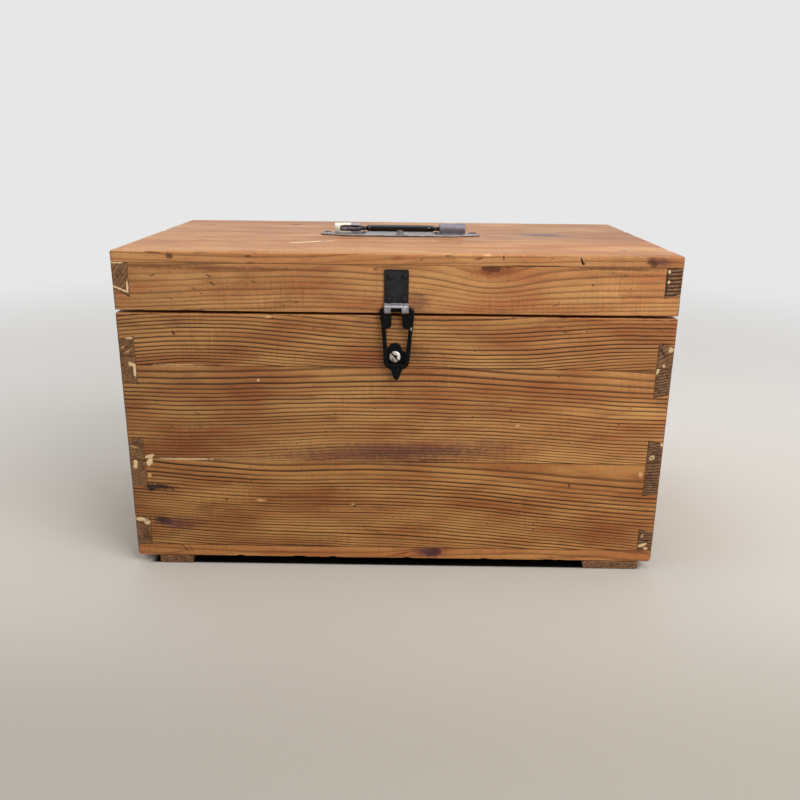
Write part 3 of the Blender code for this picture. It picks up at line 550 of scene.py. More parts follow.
def mark_reach(across, up, centre, half, turn):
    """Distance from the middle of a turned ellipse, which is 1 on its rim."""
    u, v = across - centre[0], up - centre[1]
    cos, sin = math.cos(math.radians(turn)), math.sin(math.radians(turn))
    a = (u * cos + v * sin) / half[0]
    b = (v * cos - u * sin) / half[1]
    return (a * a + b * b) ** 0.5


def wood(name):
    """The material of one board, with the knots and marks that the board carries."""
    palette, grain, pith, ring_width, wave, *rest = BOARDS[name]
    n = Material(name + "_wood")
    along, across, through, end = {
        "x": (n.x, n.z, n.y, n.nx),
        "y": (n.y, n.z, n.x, n.ny),
        "flat": (n.x, n.y, n.z, n.nx),
        "flat_y": (n.y, n.x, n.z, n.ny),
    }[grain]
    push = 0.0
    for centre, level, half, tall, strongest in KNOTS.get(name, []):
        u, v = (along - centre) / half, (across - level) / tall
        push = n.math("EXPONENT", (u * u + v * v) * -1) * strongest + push
    levels = LID_LEVELS if name.startswith("lid") else BOX_LEVELS
    seams = WALL_SEAMS.get(name.split("_")[0], (NO_SEAM, NO_SEAM))
    seed, outside = 3.7 * list(BOARDS).index(name), 0 if name.startswith("runner") else 1
    numbers = (along, across, through, end, push, *pith, ring_width, *wave, *rest)
    numbers += (seed, *levels, *seams, BOTTOM_SEAM, outside)
    given = dict(zip(WOOD_NUMBERS, numbers))
    given.update((key, tone(*rgb)) for key, rgb in zip(WOOD_TONES, PALETTES[palette]))
    group = n.add("Group", node_tree=WOOD)
    for key, value in given.items():
        n.feed(group.inputs[key], value)
    colour = group.outputs["colour"]
    rough, relief, ragged = (Value(n, group.outputs[key]) for key in ("roughness", "relief", "ragged"))

    on_front = n.fade(n.y, 4 - HALF_DEPTH, 2.4 - HALF_DEPTH)
    on_top = n.fade(n.z, 301, 302.5)
    rows = [(n.x, n.z, on_front, row) for row in FRONT_MARKS.get(name, [])]
    rows += [(n.x, n.y, on_top, row) for row in TOP_MARKS.get(name, [])]
    if name.startswith(KNOT_EYES):
        for centre, level, half, tall, _ in KNOTS.get(name, []):
            eye = (centre, level, half * 0.24, tall * 0.3, 0, 1)
            rows.append((along, across, 1.0, ("knot", eye)))
    for u, v, where, (kind, *spots) in rows:
        mark_tone, soft, lift, mark_rough = MARKS[kind]
        for a, b, half_a, half_b, turn, amount in spots:
            reach = mark_reach(u, v, (a, b), (half_a, half_b), turn) + ragged
            mask = n.fade(reach, 1 + soft * 0.5, 1 - soft) * where * amount
            colour = n.mix(mask, colour, mark_tone)
            relief = relief + mask * lift
            rough = rough + mask * (mark_rough - 0.5)
    return n.finish(colour, rough, relief, gloss=0.25)


WOOD = wood_group()


# ---------------------------------------------------------------- boards

MAX_ARRIS = 5.0
SLICE_ALONG, SLICE_ACROSS = 5.0, 6.0

# Chips and dents: x, y, z of the middle, radius and depth
DENTS = [
    (-199, -142, 302, 5, 0.9), (-128, -142, 303, 6, 0.8), (-60, -142, 303.5, 7, 0.6),
    (21, -142, 302, 4, 0.7), (46, -142, 303.5, 6, 0.9), (80, -142, 304, 5, 1), (94, -142, 303, 4, 0.8),
    (131, -142, 304, 9, 0.6), (222, -142, 300, 6, 0.7), (-113, -142, 248.9, 5, 0.8),
    (-178, -142, 251.1, 6, 0.6), (148, -142, 248.9, 5, 0.7), (-92, -142, 8, 6, 1.2),
    (-150, -142, 8, 5, 1), (-60, -142, 8, 4, 1.1), (12, -142, 8, 5, 0.9), (88, -142, 8, 6, 1),
    (150, -142, 8, 5, 1.2), (250, -100, 304, 9, 1), (250, 60, 304, 7, 0.9), (-250, 20, 304, 8, 0.8),
    (-250, -80, 8, 8, 1.4), (250, 30, 8, 8, 1.3), (246, -142, 22, 6, 0.9), (-248, -142, 46, 6, 0.9),
    (248, -142, 131, 4, 0.7), (60, 142, 304, 8, 0.8), (-120, 142, 8, 8, 1.2),
]


def arris(name, edge):
    """How far a sharp edge of a board is rounded."""
    middle = (edge.verts[0].co + edge.verts[1].co) / 2 / MM
    run = (edge.verts[1].co - edge.verts[0].co).normalized()
    on_x = abs(abs(middle.x) - HALF_WIDTH) < 0.1
    on_y = abs(abs(middle.y) - HALF_DEPTH) < 0.1
    if name == "runner_right" and middle.z < 0.1 and abs(run.y) > 0.9:
        return 5.0
    if name.startswith("runner"):
        return 1.0
    if name.startswith("bottom") and middle.z < 8.1 and (on_x or on_y):
        return 5.0 if on_x and abs(run.y) > 0.9 else 1.6
    if on_x and on_y and abs(run.z) > 0.9:
        return 1.6
    if middle.z > 303.9 and (on_x or on_y):
        return 2.0
    if min(abs(middle.z - 248.9), abs(middle.z - 251.1)) < 0.1:
        return 0.9 if on_x or on_y else 0.5
    return 0.3


def new_object(name, mesh):
    obj = bpy.data.objects.new(name, mesh)
    bpy.context.scene.collection.objects.link(obj)
    return obj


def applied(obj):
    """The object's mesh with its modifiers applied."""
    bpy.context.view_layer.update()
    graph = bpy.context.evaluated_depsgraph_get()
    mesh = bpy.data.meshes.new_from_object(obj.evaluated_get(graph))
    obj.modifiers.clear()
    obj.data = mesh
    return mesh


def slice_mesh(bm, axis, step, low, high, dice):
    """Cuts the mesh across an axis at slightly uneven steps."""
    normal = Vector([axis == i for i in range(3)])
    level = low + step * dice.uniform(0.5, 1)
    while level < high - step * 0.4:
        geometry = bm.verts[:] + bm.edges[:] + bm.faces[:]
        bmesh.ops.bisect_plane(bm, geom=geometry, plane_co=normal * level * MM, plane_no=normal)
        level += step * dice.uniform(0.8, 1.2)


def weathered(point, levels, seed):
    """A point of a board, moved by warping, worn edges, chips and dents."""
    p = point / MM
    moved = p.copy()
    warp = noise.noise(Vector((p.x / 160, p.y / 160, p.z / 40 + seed))) * 0.28
    warp += noise.noise(Vector((p.x / 40, p.y / 40, p.z / 16 + seed))) * 0.09
    gaps = (HALF_WIDTH - abs(p.x), HALF_DEPTH - abs(p.y))
    if gaps[1] < WALL + 1 and gaps[0] > WALL:
        moved.y += warp
    elif gaps[0] < WALL + 1 and gaps[1] > WALL:
        moved.x += warp
    else:
        moved.z += warp * 0.5 if p.z > 290 else 0
    if levels:
        to_level = min(p.z - levels[0], levels[1] - p.z)
        edge = sorted((*gaps, to_level))[1]
        wear = max(0.0, 1 - max(edge, 0) / 3.2)
        if wear:
            rub = 0.5 + 0.5 * noise.noise(Vector((p.x / 23, p.y / 23, p.z / 23 + seed)))
            nick = max(0.0, noise.noise(Vector((p.x / 5, p.y / 5, p.z / 5 + seed))) - 0.28)
            amount = wear * (0.22 * rub + 1.2 * nick)
            if gaps[0] < 3.2:
                moved.x -= math.copysign(amount, p.x)
            if gaps[1] < 3.2:
                moved.y -= math.copysign(amount, p.y)
            if to_level < 3.2:
                moved.z += amount if p.z - levels[0] < levels[1] - p.z else -amount
    for x, y, z, radius, depth in DENTS:
        away = (p - Vector((x, y, z))).length / radius
        if away < 1:
            push = depth * (1 - away * away) ** 2
            inward = Vector((-x if abs(x) > 249 else 0, -y if abs(y) > 141 else 0, 0))
            inward.z = -1 if z in (304, LID_LEVELS[1], BOX_LEVELS[1]) else 1 if z in (8, 251.1) else 0
            inward = Vector([math.copysign(1, c) if c else 0 for c in inward]).normalized()
            moved += inward * push
    return moved * MM


def build_board(name, index):
    source = frame["nodes"][name].data
    bm = bmesh.new()
    bm.from_mesh(source)
    bmesh.ops.remove_doubles(bm, verts=bm.verts, dist=0.01 * MM)
    bmesh.ops.dissolve_limit(bm, angle_limit=0.02, verts=bm.verts, edges=bm.edges)
    weight = bm.edges.layers.float.new("bevel_weight_edge")
    for edge in bm.edges:
        if len(edge.link_faces) == 2 and edge.is_convex and edge.calc_face_angle() > 0.6:
            if edge.calc_length() > 3 * MM:
                edge[weight] = arris(name, edge) / MAX_ARRIS
    mesh = bpy.data.meshes.new(name)
    bm.to_mesh(mesh)
    bm.free()
    obj = new_object(name + "_wood", mesh)
    bevel = obj.modifiers.new("Arrises", "BEVEL")
    bevel.limit_method = "WEIGHT"
    bevel.width = MAX_ARRIS * MM
    bevel.segments = 3
    mesh = applied(obj)

    dice = random.Random(100 + index)
    low, high, _ = box_mm(name)
    grain = BOARDS[name][1]
    lengthwise = 1 if grain in ("y", "flat_y") else 0
    crosswise = {"x": 2, "y": 2, "flat": 1, "flat_y": 0}[grain]
    bm = bmesh.new()
    bm.from_mesh(mesh)
    slice_mesh(bm, lengthwise, SLICE_ALONG, low[lengthwise], high[lengthwise], dice)
    slice_mesh(bm, crosswise, SLICE_ACROSS, low[crosswise], high[crosswise], dice)
    levels = None if name.startswith("runner") else LID_LEVELS if name.startswith("lid") else BOX_LEVELS
    for vertex in bm.verts:
        vertex.co = weathered(vertex.co, levels, index * 5.3)
    bm.to_mesh(mesh)
    bm.free()
    mesh.polygons.foreach_set("use_smooth", [True] * len(mesh.polygons))
    mesh.set_sharp_from_angle(angle=math.radians(42))
    weighted = obj.modifiers.new("Even shading", "WEIGHTED_NORMAL")
    weighted.keep_sharp = True
    dress(obj, wood(name), name)
    return obj


def dress(obj, material, *nodes):
    """Gives a piece its material and the body it rides on, and hides the CAD nodes it stands for."""
    obj.data.materials.clear()
    obj.data.materials.append(material)
    bodies = frame["record"]["behaviour"]["bodies"]
    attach(obj, next(body for body, members in bodies.items() if nodes[0] in members))
    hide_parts(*nodes)


# ---------------------------------------------------------------- metal

BLACK = tone(27, 28, 27)
SOOT = tone(11, 11, 13)
WORN = tone(104, 100, 98)
RUST = tone(84, 50, 30)


def grain_noise(n, size, detail=2, roughness=0.5):
    return n.noise(n.x / size, n.y / size, n.z / size, detail, roughness)


def sharpness(n):
    """About 0.5 on flat metal, more on its edges and less in its corners."""
    return Value(n, n.add("NewGeometry").outputs["Pointiness"])


def black_paint(name, chipped, bare=None, shade=None, paint=BLACK, gloss=0.22):
    """Old black paint on steel: edges rubbed bare, rust spots and fine scratches. bare and shade are
    masks, as functions of n: bare of where the steel shows, on the hasp's roll and as a painted glint
    on the loop; shade of where it is darkened, with painted shade and painted shadow on the hasp,
    grime on the loop, and darker round the catch's screw."""
    n = Material(name)
    cloud, speck = grain_noise(n, 5, 3), grain_noise(n, 0.7, 3, 0.65)
    scratch = n.fade(n.noise(n.x / 0.25, n.y / 0.25, n.z / 6 + n.x / 9, 1), 0.78, 0.95)
    rub = n.fade(sharpness(n) + speck * 0.02, 0.53, 0.60) * chipped
    rub = n.most(rub, scratch * 0.35, n.fade(cloud + speck * 0.6, 1.0, 1.5) * chipped)
    colour = n.mix(n.fade(cloud + speck, -1.2, 1.2), SOOT, paint)
    colour = n.mix(rub * 0.75, colour, WORN)
    rust = n.fade(grain_noise(n, 2.6, 3), 0.55, 1.1)
    colour = n.mix(rust * 0.3, colour, RUST)
    metal, rough = rub * 0.6, 0.42 + speck * 0.08 + rust * 0.2 - rub * 0.05
    relief = speck * 0.02 + cloud * 0.03 - rub * 0.03
    # Bare steel where the mask says: worn bare on the hasp's roll, a painted glint on the loop
    if bare:
        mask = n.fade(bare(n) + speck * 0.05, 0.35, 0.65)
        streaks = n.noise(n.x / 0.7, n.y / 4, n.z / 4, 1)
        lustre = n.fade(streaks + cloud * 0.5, -0.9, 0.9)
        steel = n.mix(lustre, tone(126, 120, 126), tone(196, 192, 196))
        steel = n.mix(rust * 0.25, steel, RUST)
        colour = n.mix(mask, colour, steel)
        metal = n.most(metal, mask * 0.75)
        rough = rough + mask * -0.06
    if shade:
        # Darkened by shade(n): painted shade and painted shadow on the hasp, grime on the loop
        colour = n.mix(shade(n), colour, tone(8, 8, 9))
    return n.finish(colour, rough, relief, metal, gloss)


def steel(name, light, dark, roughness, metallic, dirt):
    """Bare or plated steel gone dull: tarnish, dirt and painted shade in the corners, a painted
    highlight on the sharp edges, and fine scratches.
    """
    n = Material(name)
    cloud, speck = grain_noise(n, 4, 3), grain_noise(n, 0.6, 3, 0.65)
    lines = grain_noise(n, 0.5, 1)
    colour = n.mix(n.fade(cloud + lines * 0.5, -1.0, 0.8), dark, light)
    # Dirt and painted shade in the concave corners, and blotches of dirt
    dirt_and_shade = n.fade(speck * 0.04 - sharpness(n), -0.485, -0.44) * dirt
    dirt_and_shade = n.most(dirt_and_shade, n.fade(grain_noise(n, 1.8, 3), 0.7, 1.2) * dirt * 0.6)
    colour = n.mix(dirt_and_shade, colour, tone(40, 30, 24))
    # Painted highlight on the sharp edges
    painted_edge_highlight = n.fade(sharpness(n), 0.53, 0.6)
    colour = n.mix(painted_edge_highlight * 0.5, colour, tone(226, 222, 214))
    rough = roughness + speck * 0.06 + dirt_and_shade * 0.3
    return n.finish(colour, rough, speck * 0.015 + lines * 0.012, metallic - dirt_and_shade * 0.5)


# ---------------------------------------------------------------- metal shapes


def arc(centre, radius, start, end, steps):
    """Points on an arc, in degrees anticlockwise from +X."""
    angles = [math.radians(start + (end - start) * i / steps) for i in range(steps + 1)]
    return [(centre[0] + radius * math.cos(a), centre[1] + radius * math.sin(a)) for a in angles]


def swept(path, radius, sides=28, closed=False):
    """A round bar along a path, as vertices and faces. radius may depend on the run so far."""
    points = [Vector(p) for p in path]
    count = len(points)
    vertices, across, run = [], None, 0.0
    for i, point in enumerate(points):
        before = points[i - 1] if i or closed else point
        after = points[(i + 1) % count] if i < count - 1 or closed else point
        ahead = (after - before).normalized()
        across = across or ahead.orthogonal()
        across = (across - ahead * across.dot(ahead)).normalized()
        other = ahead.cross(across)
        run += (point - before).length if i else 0
        size = radius(run) if callable(radius) else radius
        for j in range(sides):
            angle = TAU * j / sides
            vertices.append(point + (across * math.cos(angle) + other * math.sin(angle)) * size)
    faces = []
    for i in range(count if closed else count - 1):
        a, b = i * sides, (i + 1) % count * sides
        faces += [(a + j, a + (j + 1) % sides, b + (j + 1) % sides, b + j) for j in range(sides)]
    if not closed:
        faces += [tuple(range(sides))[::-1], tuple(range((count - 1) * sides, count * sides))]
    return vertices, faces


def turned(profile, steps=48):
    """A solid of revolution about Z from (radius, height) points, top to bottom."""
    vertices, faces, rings = [], [], []
    for radius, height in profile:
        if radius == 0:
            rings.append([len(vertices)] * steps)
            vertices.append(Vector((0, 0, height)))
            continue
        rings.append(list(range(len(vertices), len(vertices) + steps)))
        for i in range(steps):
            angle = TAU * i / steps
            vertices.append(Vector((radius * math.cos(angle), radius * math.sin(angle), height)))
    for upper, lower in zip(rings[:-1], rings[1:]):
        for i in range(steps):
            j = (i + 1) % steps
            loop = [upper[i], lower[i], lower[j], upper[j]]
            faces.append(tuple(dict.fromkeys(loop)))
    return vertices, faces


def slab(outline, low, high):
    """A flat outline in XY, extruded from low to high along Z."""
    count = len(outline)
    vertices = [Vector((x, y, level)) for level in (low, high) for x, y in outline]
    faces = [tuple(range(count))[::-1], tuple(range(count, 2 * count))]
    faces += [(i, (i + 1) % count, count + (i + 1) % count, count + i) for i in range(count)]
    return vertices, faces


def mirrored(half):
    """A closed outline from the half of it with x above zero, listed from top to bottom."""
    return half + [(-x, y) for x, y in half[::-1] if x > 0]


def shape_object(name, shape, place=Matrix()):
    """A mesh object from vertices and faces in millimetres, moved by place."""
    vertices, faces = shape
    mesh = bpy.data.meshes.new(name)
    mesh.from_pydata([(place @ v) * MM for v in vertices], [], faces)
    bm = bmesh.new()
    bm.from_mesh(mesh)
    bmesh.ops.recalc_face_normals(bm, faces=bm.faces)
    bm.to_mesh(mesh)
    bm.free()
    return new_object(name, mesh)


def smoothed(mesh, sharp=40):
    mesh.polygons.foreach_set("use_smooth", [True] * len(mesh.polygons))
    if sharp:
        mesh.set_sharp_from_angle(angle=math.radians(sharp))


def forged(name, parts, cuts, voxel, soften, dent, seed):
    """One piece of old metal from overlapping closed shapes, less some cuts: their union with
    softened edges and a slightly uneven surface. parts and cuts are (shape, place)."""
    whole = shape_object(name, ([], []))
    solids = [shape_object(f"{name}_part", *part) for part in parts]
    bm = bmesh.new()
    for solid in solids:
        bm.from_mesh(solid.data)
        bpy.data.objects.remove(solid)
    bm.to_mesh(whole.data)
    bm.free()
    fuse = whole.modifiers.new("Fuse", "REMESH")
    fuse.mode = "VOXEL"
    fuse.voxel_size = voxel * MM
    cutters = [shape_object(f"{name}_cut", *cut) for cut in cuts]
    for cutter in cutters:
        cut = whole.modifiers.new("Cut", "BOOLEAN")
        cut.operation, cut.solver, cut.object = "DIFFERENCE", "EXACT", cutter
    if cutters:
        again = whole.modifiers.new("Even", "REMESH")
        again.mode = "VOXEL"
        again.voxel_size = voxel * MM
    soft = whole.modifiers.new("Soften", "SMOOTH")
    soft.factor, soft.iterations = 0.5, soften
    mesh = applied(whole)
    for cutter in cutters:
        bpy.data.objects.remove(cutter)
    normals = [v.normal.copy() for v in mesh.vertices]
    for vertex, normal in zip(mesh.vertices, normals):
        p = vertex.co / MM
        bump = noise.noise(p / 5 + Vector((seed, 0, 0)))
        bump += 0.4 * noise.noise(p / 1.7 + Vector((0, seed, 0)))
        vertex.co += normal * bump * dent * MM
    smoothed(mesh, 0)
    return whole


FACING_FRONT = Matrix.Rotation(math.radians(90), 4, "X")  # XY upright, with Z towards the front


# ---------------------------------------------------------------- fasteners


def head_profile(radius, height, under, dome=1.0):
    """A round head: dome is 1 for a button and less for a flatter one."""
    rim = height * 0.28
    points = []
    for i in range(9):
        angle = math.radians(90 * i / 8)
        level = under + rim + (height - rim) * math.cos(angle) ** dome
        points.append((radius * math.sin(angle), level))
    points[0] = (0, under + height)
    return points + [(radius * 1.0, under + rim * 0.4), (radius * 0.94, under)]


def build_nail(name, place, radius, height, under, material, seed):
    """A hand-driven nail: its head a little out of round, and dented."""
    profile = head_profile(radius, height, under, 0.8) + [(0.9, under), (0.9, -8), (0, -9.5)]
    obj = shape_object(name + "_steel", turned(profile, 40))
    for vertex in obj.data.vertices:
        p = vertex.co / MM
        if p.z > 0:
            squeeze = 1 + 0.035 * noise.noise(Vector((p.x, p.y, seed)) / 1.5)
            p.x, p.y = p.x * squeeze, p.y * squeeze
            p.z += 0.10 * noise.noise(Vector((p.x / 1.2, p.y / 1.2, seed)))
        vertex.co = (place @ p) * MM
    smoothed(obj.data, 50)
    dress(obj, material, name)


def build_screw(name, place, radius, height, under, slot, material, shank, dome):
    """A slotted round-head screw. slot is the slot's turn in degrees."""
    profile = head_profile(radius, height, under, dome) + [(shank, under), (shank, -9), (0, -11)]
    obj = shape_object(name + "_steel", turned(profile, 64))
    width, deep = 0.14 * radius, 0.5 * height
    corners = [(-2 * radius, -width), (2 * radius, -width), (2 * radius, width), (-2 * radius, width)]
    turn = Matrix.Rotation(math.radians(slot), 4, "Z")
    blade = shape_object("blade", slab(corners, under + height - deep, under + 2 * height), turn)
    cut = obj.modifiers.new("Slot", "BOOLEAN")
    cut.operation, cut.solver, cut.object = "DIFFERENCE", "EXACT", blade
    soften = obj.modifiers.new("Soften", "BEVEL")
    soften.width, soften.segments, soften.angle_limit = 0.07 * MM, 2, math.radians(35)
    mesh = applied(obj)
    bpy.data.objects.remove(blade)
    for vertex in mesh.vertices:
        vertex.co = (place @ (vertex.co / MM)) * MM
    smoothed(mesh, 35)
    dress(obj, material, name)


# ---------------------------------------------------------------- hasp and catch

HASP_NAILS = ("top_left", "top_right", "low_left", "low_right")


def build_hasp():
    """The plate with its rolled lower edge, notched in the middle. Returns a point on the roll's
    axis."""
    low, high, middle = box_mm("hasp_plate")
    front = -HALF_DEPTH - 0.3
    thick, half = 1.5, (high.x - low.x) / 2
    curl_r = 4.25
    axis = Vector((middle.x, low.y + curl_r, low.z + curl_r))
    corner = 1.3
    face = [(half, axis.z), (half, high.z - corner)]
    face += arc((half - corner, high.z - corner), corner, 15, 90, 5)
    outline = face + [(-x, z) for x, z in face[::-1]]
    plate = slab(outline, -front, -front + thick)
    roll = arc((0, 0), curl_r, 0, 322, 44) + arc((0, 0), curl_r - thick, 322, 0, 44)
    # The roll starts at the plate and goes down and forward round the loop's bar
    curl_place = Matrix(((0, 0, 1, axis.x), (1, 0, 0, axis.y), (0, -1, 0, axis.z), (0, 0, 0, 1)))
    curl = slab(roll, -half, half)
    notch = slab([(-4.8, -9), (4.8, -9), (4.8, 1.6), (-4.8, 1.6)], 0, 14)
    notch_place = Matrix.Translation((axis.x, front - thick - 0.4, axis.z)) @ FACING_FRONT
    flat = Matrix.Translation((middle.x, 0, 0)) @ FACING_FRONT
    parts, cuts = [(plate, flat), (curl, curl_place)], [(notch, notch_place)]
    obj = forged("hasp_plate_steel", parts, cuts, 0.25, 3, 0.07, 2.0)
    nails = [middle_mm(f"hasp_nail_{label}") for label in HASP_NAILS]

    def bare(n):
        """The roll, outside: its inside is dark."""
        u, v = n.y - axis.y, n.z - axis.z
        return n.fade(n.z, axis.z + 5.4, axis.z + 4.4) * n.fade((u * u + v * v) ** 0.5, 3.2, 3.8)

    def shade(n):
        """Painted shadow below the nails, darker along the top and side edges, and painted shade
        inside the roll and behind its notch.
        """
        # Painted shadow just below each nail
        rings = [((n.x - p.x) ** 2 + (n.z + 0.5 - p.z) ** 2) ** 0.5 for p in nails]
        # Painted shade on the inside of the roll
        inside = ((n.y - axis.y) ** 2 + (n.z - axis.z) ** 2) ** 0.5
        # Painted shade behind the roll's notch
        behind = n.fade(abs(n.x - axis.x), 5.2, 4.7) * n.fade(n.z, axis.z + 2.4, axis.z + 1.6)
        behind *= n.fade(n.y, front - thick - 1.2, front - thick - 0.6)
        rim = n.least(half - abs(n.x - middle.x), high.z - n.z)
        dull = n.fade(rim, 1.6, 0.3) * n.fade(n.z, axis.z + 4.2, axis.z + 5.4) * 0.6
        return n.most(n.fade(n.least(*rings), 3.6, 2.5) * 0.9, n.fade(inside, 3.6, 3.2), behind, dull)

    dress(obj, black_paint("hasp_paint", 0.7, bare, shade, tone(44, 45, 44)), "hasp_plate")

    nail_paint = black_paint("hasp_nail_paint", 0.9, paint=tone(44, 32, 40))
    for i, label in enumerate(HASP_NAILS):
        name = f"hasp_nail_{label}"
        place = Matrix.Translation((nails[i].x, -HALF_DEPTH, nails[i].z)) @ FACING_FRONT
        build_nail(name, place, 2.4, 1.4, 1.7, nail_paint, 3.0 * i)
    return axis


def build_loop(axis):
    """A round bar bent to a long loop, with a shoulder at each upper corner and a pull tab."""
    bar, centre = 1.95, Vector((middle_mm("hasp_loop").x, axis.y, axis.z))
    top_half, low_half, drop = 13.6, 9.3, 204.2 - axis.z
    bend, corner = 3.2, 2.6

    def half_loop(hurry):
        """One side from the top to the bottom. hurry below 1 draws the leg in sooner."""
        side = [(0, 0), (5, 0.0)] + arc((top_half - bend, -bend), bend, 90, 0, 10)
        for i in range(1, 20):
            t = i / 20
            level = -bend + (drop + bend) * t
            if level > drop + corner:
                side.append((top_half + (low_half - top_half) * t ** hurry, level))
        return side + arc((low_half - corner, drop + corner), corner, 0, -90, 8) + [(0, drop)]

    path = half_loop(1.0) + [(-x, z) for x, z in half_loop(0.62)[-2:0:-1]]
    bar_shape = swept([(x, 0, z) for x, z in path], bar, 24, closed=True)
    place = Matrix.Translation(centre)
    lugs = []
    for sign in (-1, 1):
        outline = [(4.7, -5.2), (5.4, -4.8), (13, -4.6), (13.4, -15), (9.5, -17.6)]
        outline += arc((7.9, -13.9), 3.2, 250, 180, 8)
        outline = [(sign * x, z) for x, z in outline]
        lugs.append((slab(outline, -1.5, 1.5), place @ FACING_FRONT))
        outline = [(0, 2.3), (2.2, 2.1), (3.3, 1.2), (3.6, 0), (3.3, -1.2), (2.2, -1.9), (0, -2)]
        eye = turned(outline, 28)
        lugs.append((eye, place @ Matrix.Translation((sign * 11.4, 0, -8.6)) @ FACING_FRONT))
    tab = [(9.4, 0.8), (9.4, -0.9), (7.6, -2.2), (5.6, -3.3)]
    tab += [(4.5, -5.2), (3.6, -8.4), (2.2, -11.6), (0.8, -13.1)]
    tab_place = place @ Matrix.Translation((0, 0, drop)) @ FACING_FRONT
    tab_shape = slab(mirrored(tab), -1.2, 1.2)
    ridge = [(0, 0, drop + 0.5), (0, -0.4, drop - 4), (0, -0.2, drop - 11)]
    spine = swept(ridge, lambda run: 1.7 - run * 0.07, 20)
    parts = [(bar_shape, place), (tab_shape, tab_place), (spine, place)] + lugs
    obj = forged("hasp_loop_steel", parts, (), 0.28, 4, 0.09, 7.0)

    def grimy(n):
        """Thick grime everywhere but for the painted glint on the right leg."""
        spot = ((n.x - centre.x - 12.2) ** 2 + (n.z - 238.5) ** 2) ** 0.5
        return n.fade(spot, 1.0, 3.0) * 0.6

    # A painted glint: bare steel on a spot of the right leg
    def wear_and_painted_light(n):
        u, v = n.x - centre.x - 12.6, (n.z - 238.5) / 1.7
        return n.fade((u * u + v * v) ** 0.5, 1.0, 0.6)

    dress(obj, black_paint("loop_paint", 0.3, wear_and_painted_light, grimy, tone(20, 20, 20), 0.1), "hasp_loop")


def build_catch():
    """An uneven plate with a low round boss, held by one slotted screw."""
    screw, slot = middle_mm("catch_screw"), -50
    place = Matrix.Translation((screw.x, -HALF_DEPTH, screw.z)) @ FACING_FRONT
    outline = [(0, 12.6), (2.6, 12.1), (4.8, 10.4), (6.0, 7.6), (6.5, 5.2), (9.6, 4.2)]
    outline += [(9.9, 1.0), (9.8, -7.4), (8.6, -8.6), (0, -9.2), (-7.4, -8.6), (-8.6, -7.0)]
    outline += [(-8.7, 2.0), (-7.4, 4.6), (-6.3, 7.6), (-3.9, 11.4)]
    plate = slab(outline, 0.3, 1.5)
    rise = [(0, 2.1), (4.6, 2.1), (5.5, 1.95), (6.0, 1.6), (6.3, 1.0), (6.3, 0.5), (0, 0.5)]
    parts = [(plate, place), (turned(rise, 48), place)]
    obj = forged("catch_plate_steel", parts, (), 0.25, 3, 0.06, 11.0)

    def shade(n):
        away = ((n.x - screw.x) ** 2 + (n.z - screw.z) ** 2) ** 0.5
        return n.fade(away, 11.0, 6.0) * 0.85

    dress(obj, black_paint("catch_paint", 0.5, None, shade, tone(20, 20, 20), 0.1), "catch_plate")
    bright = screw_steel("catch_screw_steel", (screw.x, screw.z), slot)
    build_screw("catch_screw", place, 5.2, 1.35, 2.12, slot, bright, 1.8, 0.9)


def screw_steel(name, centre, slot):
    """Bright worn steel, with black dirt in the slot and creeping in from the rim, lighter to the
    right and along the slot's lower lip as painted highlights.
    """
    n = Material(name)
    u, v = n.x - centre[0], n.z - centre[1]
    cos, sin = math.cos(math.radians(slot)), math.sin(math.radians(slot))
    cloud, speck = grain_noise(n, 1.6, 3), grain_noise(n, 0.5, 3, 0.65)
    across_slot = v * cos - u * sin
    dirt = n.fade(abs(across_slot) + speck * 0.12, 0.85, 0.55)
    clot = ((u - 0.9) ** 2 + (v - 0.5) ** 2) ** 0.5 + cloud * 0.5 + speck * 0.3
    low = ((u + 1.6) ** 2 + (v + 3.0) ** 2) ** 0.5 + cloud * 0.4
    # Painted highlight: the slot's lower lip is kept clear of dirt
    painted_highlight_lip = n.fade(abs(across_slot + 1.3), 0.7, 0.45)
    dirt = n.most(dirt, n.most(n.fade(clot, 2.1, 1.3), n.fade(low, 2.0, 1.2) * 0.7) * (1 - painted_highlight_lip))
    # Lighter towards the right as a painted highlight
    colour = n.mix(n.fade(cloud + u * 0.25, -0.8, 0.8), tone(196, 186, 172), tone(250, 248, 240))
    colour = n.mix(dirt, colour, tone(24, 20, 18))
    rough, relief = 0.3 + dirt * 0.4 + speck * 0.05, speck * 0.03 - dirt * 0.05
    return n.finish(colour, rough, relief, 0.85 - dirt * 0.7)


# ---------------------------------------------------------------- carrying handle


